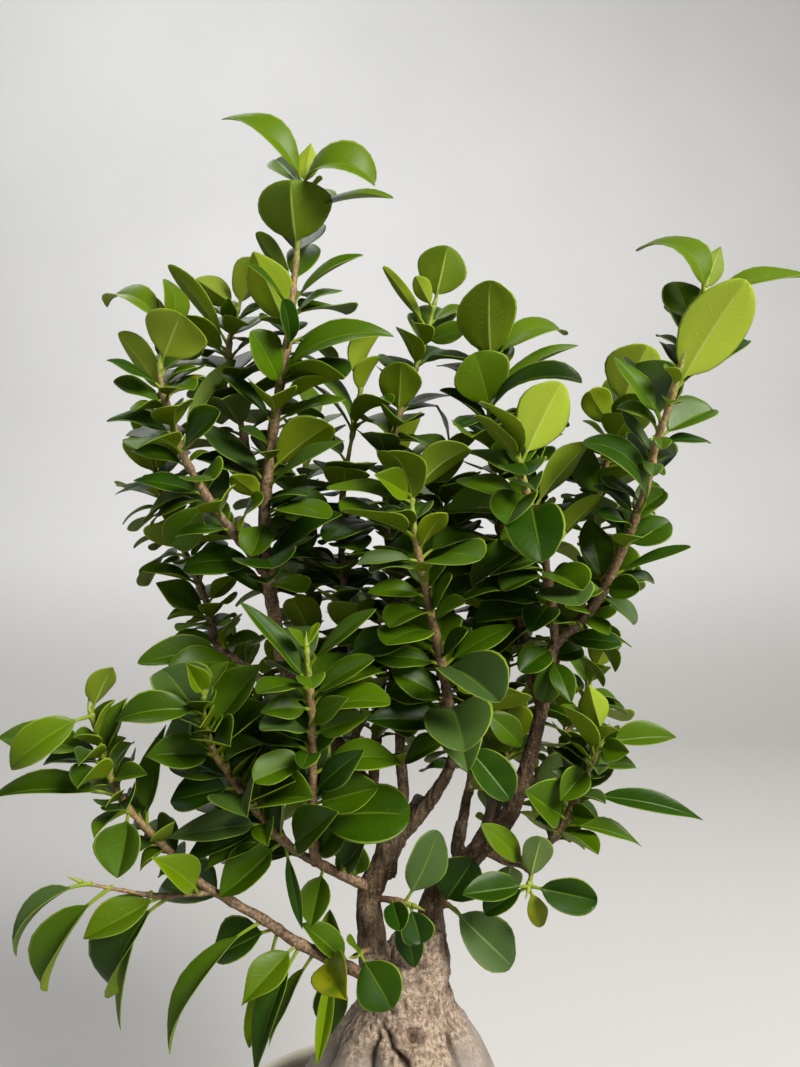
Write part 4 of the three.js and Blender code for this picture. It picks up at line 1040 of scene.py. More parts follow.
        (0.435, 24, -8, 15, 20, "viewer_l", 40), (0.35, 42, -10, 17, 8, "up_l", 15),
        (0.34, 26, 2, -2, 11, "up", 60), (0.31, 16, -12, -1, 15, "viewer_l", 35),
        (0.295, -6, 12, 41, 21, "viewer", 30), (0.18, 22, 6, 7, 16, "up_l", 40),
        (0.11, 34, -12, 0, 15, "up_l", 40),
    ]),
    "right_inner": dict(thick=(3, 1.4), more=4, route=[
        (92, -8, 422), (89, -15, 440), (85, -23, 457), (82, -30, 472), (77, -38, 489), (71, -46, 503),
        (66, -52, 517), (64, -54, 525),
    ], leaves=[
        (0.965, 21, -6, 44, 29, "away", 20), (0.67, 33, 6, 39, 21, "away_l", 35),
        (0.83, -34, -8, 16, 15, "up_r", 45), (0.705, -41, 2, 14, 18, "viewer_u", 45),
        (0.45, 28, -14, 33, 17, "away_l", 25),
    ]),
    "right_centre": dict(thick=(3.6, 1.3), more=8, route=[
        (84, -2, 384), (79, 8, 404), (73, 16, 440), (67, 18, 467), (61, 18, 493), (59, 18, 514),
        (57, 16, 545), (55, 14, 569), (56, 12, 589),
    ], leaves=[
        (0.985, -2, -10, 53, 37, "away", 20), (1, 45, 4, 21, 22, "viewer_u", 115),
        (0.835, -11, -18, 33, 36, "viewer", 32), (0.905, 56, 6, 30, 15, "up_l", 35),
        (0.82, 55, -8, 20, 17, "over_l", 125), (0.77, -32, 4, 27, 16, "up_r", 55),
    ]),
    "right_rear": dict(thick=(3.2, 1.3), more=7, route=[
        (86, -4, 394), (98, 10, 416), (117, 26, 451), (126, 32, 497), (129, 32, 519), (135, 30, 546),
        (138, 28, 564),
    ], leaves=[
        (0.99, 13, -20, 39, 35, "away", 25), (0.89, -20, -16, 22, 20, "away", 30),
        (0.58, -19, -16, 30, 21, "viewer", 30),
    ]),
    "right_low": dict(thick=(3.2, 1.2), more=3, route=[
        (51, 4, 296), (69, 0, 290), (86, -6, 302), (94, -8, 312), (103, -10, 330), (108, -12, 344),
        (114, -14, 358), (118, -16, 370),
    ], leaves=[
        (0.595, 72, -6, -12, 14, "up_l", 55), (0.45, 45, -8, -9, 12, "up", 65),
        (0.93, 46, 4, 3, 16, "over_l", 45), (0.9, 14, -16, 2, 14, "viewer", 35),
        (0.99, -9, -4, 31, 17, "away", 25), (0.48, -27, -22, 24, 27, "viewer_r", 30),
        (0.79, -20, -12, -17, 17, "viewer", 35), (0.515, 12, -16, 2, 12, "viewer_l", 40),
    ]),
    "right_drop": dict(thick=(2.2, 1.1), more=0, route=[
        (67, 0, 290), (72, -12, 292), (75, -22, 292), (73, -28, 287),
    ], leaves=[
        (0.48, -28, -12, 30, 17, "viewer_r", 25), (0.935, 8, 8, 24, 18, "away", 25),
        (0.985, 37, -8, -5, 20, "viewer_l", 25), (1, -39, -18, 3, 18, "viewer_u", 30),
        (1, -25, 2, -16, 16, "viewer_u", 30), (1, 6, -8, -19, 12, "viewer", 30),
        (0, -3, 10, -22, 18, "away", 25),
    ]),
    "neck_right": dict(thick=(2.2, 1.3), more=0, route=[
        (20, 0, 262), (27, -10, 269), (31, -18, 270),
    ], leaves=[
        (0.565, 37, -8, -32, 29, "viewer_u", 20), (0.32, 17, -20, 35, 29, "viewer", 25),
    ]),
    "neck_front": dict(thick=(2.2, 1.3), more=1, route=[
        (-15, -13, 274), (-2, -26, 278), (7, -32, 278),
    ], leaves=[
        (0.735, 19, 6, 39, 26, "viewer_r", 35), (0.925, 6, -6, -19, 19, "viewer", 30),
        (0.535, 10, 8, -42, 17, "viewer", 30), (0.39, 5, -14, -11, 14, "viewer", 40),
    ]),
    "neck_left": dict(thick=(2.2, 1.3), more=0, route=[
        (-15, -16, 245), (-19, -30, 252), (-24, -38, 253),
    ], leaves=[
        (0.84, 18, -14, -23, 27, "viewer", 40), (0.79, -7, -6, 9, 11, "up", 30),
    ]),
    "back_left": dict(thick=(3.6, 1.3), more=9, route=[
        (-40, 18, 356), (-54, 48, 398), (-62, 74, 448), (-68, 92, 505), (-66, 98, 562),
    ], leaves=[]),
    "back_mid": dict(thick=(3.8, 1.3), more=10, route=[
        (-17, 10, 327), (-14, 38, 368), (-8, 68, 425), (-2, 90, 485), (4, 98, 548),
    ], leaves=[]),
    "back_right": dict(thick=(3.6, 1.3), more=9, route=[
        (66, 4, 320), (66, 34, 352), (72, 64, 405), (80, 86, 465), (86, 94, 532),
    ], leaves=[]),
    "back_low_left": dict(thick=(3.6, 1.3), more=8, route=[
        (-14, 8, 322), (-36, 42, 328), (-68, 78, 342), (-100, 98, 368), (-122, 104, 404),
    ], leaves=[]),
    "back_low_right": dict(thick=(3.4, 1.3), more=9, route=[
        (47, 6, 294), (64, 40, 302), (94, 70, 322), (122, 86, 356), (140, 90, 398),
    ], leaves=[]),
}
PIECES = {
    "stem_left_crown": ["left_tall", "left_outer", "left_inner"],
    "stem_left_rear": ["left_rear"],
    "stem_left_low": ["left_low", "left_low_side"],
    "stem_left_middle": ["left_mid", "front"],
    "stem_centre": ["centre", "centre_side"],
    "stem_centre_top": ["centre_top"],
    "stem_centre_left": ["centre_left"],
    "stem_centre_rear": ["centre_rear"],
    "stem_right_crown": ["right_tall", "right_inner"],
    "stem_right_centre": ["right_centre"],
    "stem_right_rear": ["right_rear"],
    "stem_right_low": ["right_low", "right_drop"],
    "sprout_right": ["neck_right"],
    "sprout_front": ["neck_front"],
    "sprout_left": ["neck_left"],
    "stem_back_left": ["back_left"],
    "stem_back": ["back_mid"],
    "stem_back_right": ["back_right"],
    "stem_back_low_left": ["back_low_left"],
    "stem_back_low_right": ["back_low_right"],
}
POINTED = ("left_low", "left_low_side", "left_mid", "right_low")
sketched_leaves = sum(len(stem["leaves"]) for stem in STEMS.values())
print("shoots:", len(STEMS), "- leaves in the sketch:", sketched_leaves)

# %% [markdown]
# ## One leaf in space
# A leaf is a strip bent on an arc. Its own directions are ahead, from foot to tip, up, which is the way
# that the upper side faces made square to ahead, and side. The blade starts after a short stalk. Its
# half width rises and falls as u^a (1-u)^b, which is blunt where b is small and pointed where it is
# big.

# %% Leaf formulas
STALK = 0.16
POINTED_POWERS = (0.8, 0.95)
BLUNT_POWERS = (0.75, 0.5)
SAMPLE_ROWS, SAMPLE_SIDES = 8, 3


class Leaf:
    """A leaf by its foot, the step to its tip, facing, width, bend in degrees and outline."""

    def __init__(self, root, chord, face, wide, bend, pointed):
        self.root = np.asarray(root, float)
        self.size = float(np.linalg.norm(chord))
        self.ahead = np.asarray(chord, float) / self.size
        face = np.asarray(face, float)
        self.up = unit(face - self.ahead * (face @ self.ahead))
        self.side = np.cross(self.ahead, self.up)
        self.half = math.radians(bend) / 2
        self.radius = self.size / (2 * math.sin(self.half))
        self.wide = wide
        self.pointed = pointed
        self.powers = POINTED_POWERS if pointed else BLUNT_POWERS

    def on(self, s, across, above):
        """Points at s along the arc, `across` sideways and `above` it: sines of the turn give how far
        ahead they are, and cosines how far up."""
        turn = self.half * (1 - 2 * s)
        along = self.radius * (math.sin(self.half) - np.sin(turn)) - above * np.sin(turn)
        rise = self.radius * (np.cos(turn) - math.cos(self.half)) + above * np.cos(turn)
        steps = [np.asarray(part)[..., None] * way for part, way in (
            (along, self.ahead), (rise, self.up), (across, self.side),
        )]
        return self.root + sum(steps)

    def outline(self, u):
        """Half width of the blade at u from the stalk to the tip, one at its widest."""
        a, b = self.powers
        peak = a / (a + b)
        return (u / peak) ** a * ((1 - u) / (1 - peak)) ** b

    def samples(self, rows=SAMPLE_ROWS, sides=SAMPLE_SIDES):
        """Rows of points spread over the blade from foot to tip, used to keep leaves apart."""
        u = ((np.arange(rows) + 0.6) / rows)[:, None]
        v = (np.arange(-sides, sides + 1) / sides)[None]
        across = v * self.wide / 2 * self.outline(u)
        return self.on(STALK + (1 - STALK) * u + 0 * v, across, 0 * across).reshape(-1, 3)


print("points that stand for a leaf:", SAMPLE_ROWS * (2 * SAMPLE_SIDES + 1))

# %% [markdown]
# ## Keeping leaves apart
# Real leaves push one another aside as they grow. Here each new leaf is tried in a few positions, and
# the first one that stays clear of the wood and of the leaves already there is kept. The wood is known
# by points along it and their radii, and a leaf by the rows of points spread over its blade.

# %% Room among wood and leaves
CLEAR = 4.2
STEM_CLEAR = 2.6
ROOT_CLEAR = 3
LIMB_CLEAR = 1
OWN_CLEAR = 1.2
REACH = 75
WOOD_STEP = 4
MIDDLE_SAMPLE = 24
STALK_SAMPLES = 14


def wood_samples(name, route, ends):
    """Points at even steps along a stem, and the radius there."""
    count = math.ceil(length_of(route) / WOOD_STEP)
    t = np.arange(count + 1) / count
    return [name] * (count + 1), curve(route, t), thickness(ends, t)


wood = [wood_samples("limb", route, ends) for ends, route in LIMBS]
wood += [wood_samples(name, stem["route"], stem["thick"]) for name, stem in STEMS.items()]
WOOD_NAME = np.array(sum((w[0] for w in wood), []))
WOOD_POINT = np.concatenate([w[1] for w in wood])
WOOD_RADIUS = np.concatenate([w[2] for w in wood])
placed = []


def hits_root(points):
    """Inside the swollen root, or nearly touching it: nearer to its middle than its radius there."""
    z, radius, shift = np.array(BULB, float).T
    level = points[:, 2]
    reach = np.hypot(points[:, 0] - np.interp(level, z, shift), points[:, 1])
    inside = (level <= z[-1]) & (level >= z[0])
    return bool((inside & (reach < np.interp(level, z, radius) + ROOT_CLEAR)).any())


def gaps(a, b):
    """Every squared distance between two sets of points: |a|^2 + |b|^2 - 2 a.b."""
    return (a * a).sum(1)[:, None] + (b * b).sum(1)[None] - 2 * a @ b.T


def span_of(points):
    """Distance from the middle of a blade to its farthest point."""
    return np.linalg.norm(points - points[MIDDLE_SAMPLE], axis=1).max()


def is_clear(leaf, points, name, clear, stem_clear):
    """Clear of the root, of the wood and of the leaves already placed."""
    if hits_root(points):
        return False
    limb = WOOD_NAME == "limb"
    foot = np.linalg.norm(WOOD_POINT[limb] - leaf.root, axis=1)
    if (foot < WOOD_RADIUS[limb] + LIMB_CLEAR).any():
        return False
    middle, span = points[MIDDLE_SAMPLE], span_of(points)
    close = np.linalg.norm(WOOD_POINT - middle, axis=1) < span + WOOD_RADIUS + stem_clear
    own = (WOOD_NAME == name) & close
    other = (WOOD_NAME != name) & close
    if (gaps(points, WOOD_POINT[other]) < (WOOD_RADIUS[other] + stem_clear) ** 2).any():
        return False
    beyond = points[STALK_SAMPLES:]
    if (gaps(beyond, WOOD_POINT[own]) < (WOOD_RADIUS[own] + OWN_CLEAR) ** 2).any():
        return False
    if not placed:
        return True
    apart = np.linalg.norm(np.array([p["middle"] for p in placed]) - middle, axis=1)
    limit = np.minimum(REACH, span + clear + np.array([p["span"] for p in placed]))
    near = [placed[i]["points"] for i in np.flatnonzero(apart <= limit)]
    return not near or bool((gaps(points, np.concatenate(near)) >= clear ** 2).all())


def settle(name, t, candidates, clear=CLEAR, stem_clear=STEM_CLEAR, number=None):
    """Keeps the first candidate that is clear; a sketched leaf keeps its number on the shoot."""
    for leaf in candidates:
        points = leaf.samples()
        if is_clear(leaf, points, name, clear, stem_clear):
            placed.append({
                "name": name, "t": t, "leaf": leaf, "points": points,
                "middle": points[MIDDLE_SAMPLE], "span": span_of(points), "number": number,
            })
            return


print("points along the wood:", len(WOOD_POINT))

# %% [markdown]
# The viewer's eye is where the camera stands. The places where the crown is open are circles, as x, z
# and radius in the plane of the trunk, where wall or old wood shows between the leaves. A grid of small
# squares over the view keeps how near the nearest sketched leaf is.

# %% What the viewer sees
EYE = np.array([0.0, -510.0, 487.0])
CLEAR_PATCHES = np.array([
    (-3, 672, 25), (-29, 668, 13), (-29, 636, 13), (-17, 624, 6), (-125, 670, 24), (-103, 664, 8),
    (-110, 616, 4), (-175, 612, 8), (-187, 597, 16), (-187, 572, 11), (-183, 543, 16),
    (-169, 530, 7), (-183, 519, 13), (-186, 486, 18), (-167, 474, 8), (-168, 447, 18),
    (-147, 428, 10), (-103, 454, 5), (-31, 543, 8), (-34, 507, 5), (-47, 438, 5), (-15, 482, 5),
    (28, 580, 7), (33, 560, 6), (19, 555, 7), (96, 590, 6), (114, 606, 17), (107, 560, 7),
    (109, 494, 5), (184, 519, 25), (180, 486, 17), (174, 447, 24), (151, 438, 11), (156, 393, 25),
    (140, 409, 8), (-140, 320, 5), (-144, 290, 5), (-207, 306, 22), (-198, 290, 12), (-175, 298, 6),
    (-207, 393, 16), (-79, 264, 8), (-93, 265, 5), (-65, 260, 5), (-33, 260, 5), (-127, 240, 11),
    (-222, 264, 16), (-228, 231, 12), (-111, 207, 12), (-5, 360, 6), (29, 327, 8), (12, 353, 4),
    (77, 312, 5), (150, 339, 11), (127, 340, 5), (111, 290, 8), (144, 279, 22), (132, 300, 6),
    (96, 249, 16), (48, 207, 20), (3, 298, 13), (-9, 279, 13), (-17, 252, 10), (15, 322, 8),
    (23, 342, 6), (33, 366, 5), (45, 304, 8), (63, 312, 8), (77, 339, 6), (86, 366, 5), (5, 333, 4),
    (-47, 286, 5), (-33, 276, 5), (-109, 348, 4),
])
COVERED = 0.12
HIDDEN = 0.25
VIEW_CELL = 2.0
VIEW_CELLS = (400, 500)
VIEW_CORNER = (200, 50)
FINE_ROWS, FINE_SIDES = 24, 7
nearest = np.full(VIEW_CELLS, -np.inf)


def sight_of(points):
    """Where points lie in the plane of the trunk for the viewer, as x and z."""
    sight = EYE + (points - EYE) * (-EYE[1] / (points[:, 1:2] - EYE[1]))
    return sight[:, [0, 2]]


def cells_of(sight):
    """Row and column of the small square of the view that holds each point."""
    i, j = (np.floor(sight / VIEW_CELL).astype(int) + VIEW_CORNER).T
    return i.clip(0, VIEW_CELLS[0] - 1), j.clip(0, VIEW_CELLS[1] - 1)


def mark_seen(leaf):
    """Keeps how near the nearest sketched leaf is, in each small square of the view."""
    points = leaf.samples(FINE_ROWS, FINE_SIDES)
    cells = cells_of(sight_of(points))
    nearest[cells] = np.where(np.isinf(nearest[cells]), np.inf, nearest[cells])
    np.minimum.at(nearest, cells, points[:, 1])


def spoils_view(leaf):
    """True where too much of the blade lies in front of a clear patch or of a sketched leaf."""
    points = leaf.samples()
    sight = sight_of(points)
    away = np.hypot(*(sight[:, None] - CLEAR_PATCHES[:, :2]).transpose(2, 0, 1))
    on_patch = (away < CLEAR_PATCHES[:, 2]).any(axis=1).mean()
    on_leaf = (points[:, 1] < nearest[cells_of(sight)]).mean()
    return bool(on_patch > COVERED or on_leaf > HIDDEN)


print("open patches in the crown:", len(CLEAR_PATCHES))

# %% [markdown]
# A sketched leaf keeps its outline for the viewer and moves only in depth. A leaf by rule turns round
# its stem, and it stays off the open patches and doesn't hide a sketched leaf. Its random numbers come
# from the same short formula as in the source of the solids, so both get the same leaves.

# %% Sketched leaves and leaves by rule
SHIFTS = (0, -5, 5, -10, 10, -15, 15, -20, 20, -26, 26)
TURNS = (0, 22, -22, 44, -44, 66, -66, 90, -90, 120, -120, 180)
GOLDEN_ANGLE = 137.5
STEM_TURN = 40
BARE_FOOT = 0.16
TIP_START = 0.75
RULE_LONG, RULE_SHRINK = 50, 13
MULTIPLIER, MODULUS = 16807, 2 ** 31 - 1
SEED_STEP = 7919


def slide(root, step, shift):
    """The step to the tip after a move in depth: the tip slides along the viewer's line of sight."""
    tip = root + np.array(step) - EYE
    return tip * (1 + shift / tip[1]) + EYE - root


def sketched(name, row):
    """A leaf of the sketch, at each move in depth."""
    at, x, y, z, wide, face, bend = row
    root = curve(STEMS[name]["route"], at)[0]
    for shift in SHIFTS:
        step = slide(root, (x, y, z), shift)
        yield Leaf(root, step, FACES[face], wide, bend, name in POINTED)


def park_miller(seed):
    """Random numbers between 0 and 1: state times the multiplier, modulo a prime."""
    state = seed
    while True:
        state = state * MULTIPLIER % MODULUS
        yield state / MODULUS


def rule_leaf(name, t, angle, lift, long, wide, sag=(0, 0, 0.12), light=(0, 0, 0.5), bend=45):
    """Points out from the stem, lifted towards its tip, less sag; its face turns to the light."""
    route = STEMS[name]["route"]
    grow, front, right = (way[0] for way in frames(route, t))
    out = front * math.cos(angle) + right * math.sin(angle)
    ahead = out * math.cos(lift) + grow * math.sin(lift) - np.array(sag)
    face = grow * math.cos(lift) - out * math.sin(lift) + np.array(light)
    return Leaf(curve(route, t)[0], ahead * long, face, wide, bend, name in POINTED)


def place_by_rule(name, index):
    """Leaves a golden angle apart; they lift and shrink towards the tip of the shoot."""
    count = STEMS[name]["more"]
    random = park_miller(SEED + SEED_STEP * index)
    for k in range(count):
        r1, r2, r3, r4, r5 = (next(random) for _ in range(5))
        t = BARE_FOOT + (1 - BARE_FOOT) * (k + 0.3 + 0.4 * r1) / count
        tip = float(smoothstep(TIP_START, 1, t))
        long = (RULE_LONG - RULE_SHRINK * tip) * (0.85 + 0.3 * r2)
        lift = math.radians(22 + 40 * tip + 18 * r3)
        wide = (0.53 + 0.12 * r5) * long
        angles = (GOLDEN_ANGLE * k + 60 * r4 + turn + STEM_TURN * index for turn in TURNS)
        tries = (rule_leaf(name, t, math.radians(angle), lift, long, wide) for angle in angles)
        settle(name, t, (leaf for leaf in tries if not spoils_view(leaf)))


for name, stem in STEMS.items():
    for number, row in enumerate(stem["leaves"]):
        settle(name, row[0], sketched(name, row), number=number)
for one in placed:
    mark_seen(one["leaf"])
for index, name in enumerate(STEMS):
    place_by_rule(name, index)
solid_leaves = len(placed)
print("leaves that the solids have too:", solid_leaves)

# %% [markdown]
# ## Leaves in the gaps
# A healthy crown lets little light through. Between the leaves above sit many more, of all sizes, too
# many for the solids. They are packed closer, droop more and turn their faces to the window. None may
# reach out of the box of the solids, cover a clear patch or hide a sketched leaf. The first few are
# sketched too: they stand before the right limb and its shoot, and only move in depth.

# %% Gap leaves
GAP_PASSES = ((1.0, 17), (0.84, 17), (0.66, 16), (0.46, 12))
GAP_CLEAR = 2.5
GAP_STEM_CLEAR = 1.5
GAP_LONG, GAP_SHRINK = 52, 14
FULL_SHOOT = 210
BOX_GAP = 1
LEAST_BARE = 0.14
BARE = {"left_low": 0.5, "left_mid": 0.42, "right_low": 0.35, "front": 0.2}
GAP_SIZE = {
    "left_low": 0.62, "right_low": 0.6, "right_tall": 0.66, "left_outer": 0.8,
    "left_rear": 0.75, "back_low_right": 0.72, "back_low_left": 0.85, "right_rear": 0.85,
}
NO_GAP_LEAVES = ("neck_right", "neck_front", "neck_left", "right_drop", "left_low_side")
BOX_LOW, BOX_HIGH = (np.array(corner) / MM - PLANT for corner in cad_box)
BEFORE_LIMB = (
    (0.43, 4, -26, 8, 22, "up", 50), (0.38, -8, -10, 23, 15, "viewer_r", 60),
    (0.52, 12, -12, 12, 14, "viewer_l", 45), (0.3, -15, -10, -3, 13, "up", 45),
    (0.24, -6, -18, 16, 17, "viewer", 40), (0.2, 9, -20, -8, 13, "viewer_u", 45),
    (0.16, -14, -14, 4, 14, "up", 50), (0.11, -17, -10, 14, 17, "viewer_r", 50),
    (0.08, -22, -20, -10, 19, "viewer_u", 50), (0.05, 8, -22, -22, 15, "viewer", 60),
    (0.04, 16, -16, 10, 15, "viewer_l", 45), (0.06, -8, -20, -24, 16, "viewer", 60),
)


def is_boxed(leaf):
    """True where the blade stays inside the box of the solids."""
    points = leaf.samples()
    return bool((points > BOX_LOW + BOX_GAP).all() and (points < BOX_HIGH - BOX_GAP).all())


def has_room(leaf):
    """True where the blade stays in the box and spoils no view."""
    return is_boxed(leaf) and not spoils_view(leaf)


def fill_gaps(name, index, size, count, draw):
    """Tries a leaf at even steps along the shoot, each a golden angle on from the last."""
    start = BARE.get(name, LEAST_BARE)
    for k in range(count):
        t = start + (1 - start) * (k + draw.random()) / count
        tip = float(smoothstep(TIP_START, 1, t))
        long = (GAP_LONG - GAP_SHRINK * tip) * draw.uniform(0.85, 1.12) * size
        lift = math.radians(8 + 48 * tip + draw.uniform(0, 26))
        wide = long * draw.uniform(0.54, 0.66)
        bend = draw.uniform(40, 100)
        first = GOLDEN_ANGLE * k + draw.uniform(0, 60) + STEM_TURN * index
        candidates = (
            rule_leaf(name, t, math.radians(first + turn), lift, long, wide,
                      (0, 0, 0.2 * (1 - tip)), (0, -0.4, 0.45), bend)
            for turn in TURNS
        )
        settle(name, t, filter(has_room, candidates), GAP_CLEAR, GAP_STEM_CLEAR)


for row in BEFORE_LIMB:
    tries = filter(is_boxed, sketched("right_tall", row))
    settle("right_tall", row[0], tries, GAP_CLEAR, GAP_STEM_CLEAR)
draw = np.random.default_rng(SEED + 1)
for size, count in GAP_PASSES:
    for index, name in enumerate(STEMS):
        if name not in NO_GAP_LEAVES:
            share = min(1.0, length_of(STEMS[name]["route"]) / FULL_SHOOT)
            fill_gaps(name, index, size * GAP_SIZE.get(name, 1), math.ceil(count * share), draw)
print("leaves in the gaps:", len(placed) - solid_leaves)

# %% [markdown]
# ## The skin of a leaf
# One closed skin makes stalk and blade together. Its ring is a small circle on the stalk and flattens
# to a thin plate on the blade. The two halves fold up a little from the midrib, the margin waves in
# and out and up and down, the tip ends in a short point, a rib stands out below and a groove runs
# above it. Each leaf draws its own fold, waves, point, lopsidedness and sideways sweep, so no two are
# alike, and all leaves share one set of faces.

# %% Leaf grid
ACROSS = np.array([-1, -0.92, -0.54, -0.1, 0, 0.1, 0.54, 0.92, 1])
RING_V = np.concatenate([ACROSS, ACROSS[-2:0:-1]])
RING_SIDE = np.concatenate([[0], np.ones(7), [0], -np.ones(7)])
STALK_S = np.array([-0.02, 0.03, 0.08, 0.125])
BLADE_U = (1 - np.cos(np.pi * np.linspace(0.075, 1, 14) ** 1.05)) / 2
LEAF_S = np.concatenate([STALK_S, STALK + (1 - STALK) * BLADE_U])
LEAF_U = np.clip((LEAF_S - STALK) / (1 - STALK), 0, 1)
AROUND = len(RING_V)
LEAF_QUADS, LEAF_FANS = ring_faces(len(LEAF_S), AROUND)


def leaf_corners():
    """u, v and side of each face corner; v and u are read off the grid, the side off the face."""
    u = np.concatenate([np.repeat(LEAF_U, AROUND), [0, 1]])
    v = np.concatenate([np.tile(RING_V, len(LEAF_S)), [0, 0]])
    side = np.concatenate([np.tile(RING_SIDE, len(LEAF_S)), [0, 0]])
    corners = []
    for faces in (LEAF_QUADS, LEAF_FANS):
        face_side = np.where(side[faces].sum(1) > 0, 1.0, 0.0)
        corners.append(np.stack([
            u[faces], v[faces] / 2 + 0.5, np.broadcast_to(face_side[:, None], faces.shape),
        ], -1).reshape(-1, 3))
    return corners


LEAF_PLACES = leaf_corners()
print("faces of a leaf:", len(LEAF_QUADS) + len(LEAF_FANS))

# %% Leaf shape
BLADE_THICK = 0.5
BLADE_GAIN = 1.02
STALK_RADIUS = 1.15
RIB_DEEP, RIB_WIDE = 0.55, 0.9
GROOVE_DEEP, GROOVE_WIDE = 0.22, 0.7
WIDEST_MARGIN = 1.08
DRAWN_LOW = (0.3, 0, -1, 0, -0.09)
DRAWN_HIGH = (1.5, 6.3, 1, 0.75, 0.09)


def leaf_points(leaf, draw):
    """Circle on the stalk, plate on the blade, blended over the first part of the blade. The plate
    rises with its distance from the midrib, plus a sine along the margin for its waves."""
    u = LEAF_U[:, None]
    v, side = RING_V[None], RING_SIDE[None]
    wave, phase, sweep, point, lop = draw.uniform(DRAWN_LOW, DRAWN_HIGH)
    fold = 0.07 + 0.65 * draw.random() ** 2 + (0.45 if leaf.pointed else 0)
    scallop = 0.045 * np.sin(6.5 * u + phase + np.sign(v) * 2) * np.sin(np.pi * u)
    drawn_in = 1 - point * smoothstep(0.76, 1, u) * (1 - u) * 2.2
    margin = (1 + lop * np.sign(v) + scallop) * drawn_in
    slim = (0.45 if leaf.wide < min(28, leaf.size * 0.58) else 0.1) * draw.random()
    taper = ((1 - u) / 0.65) ** (slim * smoothstep(0.35, 0.8, u))
    widest = leaf.wide * BLADE_GAIN / 2 * leaf.outline(u)
    half = widest * taper * np.minimum(margin, WIDEST_MARGIN)
    across = half * v
    plate = fold * np.abs(across) - fold * 0.35 * half
    plate = plate + wave * v ** 2 * np.sin(7 * u + phase + (v > 0) * 1.7) * np.sqrt(half / 14)
    plate = plate + side * BLADE_THICK / 2
    rib = RIB_DEEP * (1 - 0.75 * u) * np.exp(-(across / RIB_WIDE) ** 2) * (side < 0)
    groove = GROOVE_DEEP * np.exp(-(across / GROOVE_WIDE) ** 2) * (side > 0)
    plate = plate - rib - groove
    turn = np.pi / 2 * (1 - v) * np.where(side == 0, 1, side)
    radius = STALK_RADIUS * (1 - 0.25 * np.clip(LEAF_S / STALK, 0, 1))[:, None]
    share = smoothstep(0.0, 0.13, u)
    across = across * share + radius * np.cos(turn) * (1 - share)
    across = across + sweep * 1.3 * u * (1 - u) * leaf.size / 30
    height = plate * share + radius * np.sin(turn) * (1 - share)
    rings = leaf.on(LEAF_S[:, None] + 0 * v, across, height)
    poles = leaf.on(np.array([-0.03, 1.0]), np.zeros(2), np.zeros(2))
    return np.concatenate([rings.reshape(-1, 3), poles])


print("points of a leaf:", len(leaf_points(placed[0]["leaf"], np.random.default_rng(1))))

# %% [markdown]
# ## Twigs
# A young twig is a slightly knotty tube: it swells where a leaf sits and carries a pointed bud at its
# end. Its foot runs into the limb, where the bark closes round it.

# %% Twig skin
TWIG_SIDES = 10
TWIG_STEP = 2.4
NODE_SWELLS, NODE_LONG, MOST_SWOLLEN = 0.4, 2.2, 0.7
THIN = 0.8
BUD_ROWS = 9
BUD_LONG = 9
BUD_FOOT = 0.4
BUD_LEAN = 1.2
BUD_TIP = 0.05
PAST_TWIG = 1.6


def twig_points(name):
    """Thickness along the route, plus a bell-shaped swelling at each leaf and noise of the bark."""
    route, ends = STEMS[name]["route"], STEMS[name]["thick"]
    long = length_of(route)
    t = np.linspace(0, 1, max(12, round(long / TWIG_STEP)))
    radius = thickness(ends, t)
    for node in [p["t"] for p in placed if p["name"] == name]:
        radius = radius + NODE_SWELLS * np.exp(-((t - node) * long / NODE_LONG) ** 2)
    radius = np.minimum(radius, thickness(ends, t) + MOST_SWOLLEN)
    points = tube_points(route, t, radius, TWIG_SIDES)
    rough = noise(points, 2.6, 21) * 0.22 + noise(points, 7, 22) * 0.25
    centre = np.concatenate([np.repeat(curve(route, t), TWIG_SIDES, 0), points[-2:]])
    out = points - centre
    share = 1 + rough[:, None] / np.maximum(np.linalg.norm(out, axis=1, keepdims=True), THIN)
    return centre + out * share, t


def bud_points(name):
    """A slim cone of scales that goes on from the end of the twig, widest near its foot."""
    route, ends = STEMS[name]["route"], STEMS[name]["thick"]
    grow, front, right = (way[0] for way in frames(route, 1.0))
    t = np.linspace(0, 1, BUD_ROWS)
    radius = ends[1] * (1 - t) ** 0.8 * (1 + 0.35 * np.sin(np.pi * np.sqrt(t))) + BUD_TIP
    end, out = curve(route, 1.0)[0], t[:, None]
    centre = end + grow * (out * BUD_LONG - BUD_FOOT) + right * (out ** 2 * BUD_LEAN)
    angle = (np.arange(TWIG_SIDES) * 2 * np.pi / TWIG_SIDES)[:, None]
    around = front * np.cos(angle) + right * np.sin(angle)
    rings = centre[:, None] + around[None] * radius[:, None, None]
    poles = np.stack([centre[0], centre[-1] + grow * 0.2])
    return np.concatenate([rings.reshape(-1, 3), poles])


def tube_corners(faces, along):
    """Each corner keeps its place along the twig."""
    none = 0 * along
    return [np.stack([along[f], none[f], none[f]], -1).reshape(-1, 3) for f in faces]


print("points of a bud:", len(bud_points("left_tall")))

# %% [markdown]
# ## One piece for each leafy stem
# Twigs, buds and leaves of a stem are gathered into one mesh with two materials. Besides its place on
# the leaf, each face corner knows the tone of its leaf: how dark, how young and how yellow it is.

# %% Gather and build
BARK, LEAF = 0, 1
SKIN_GAP = 0.3


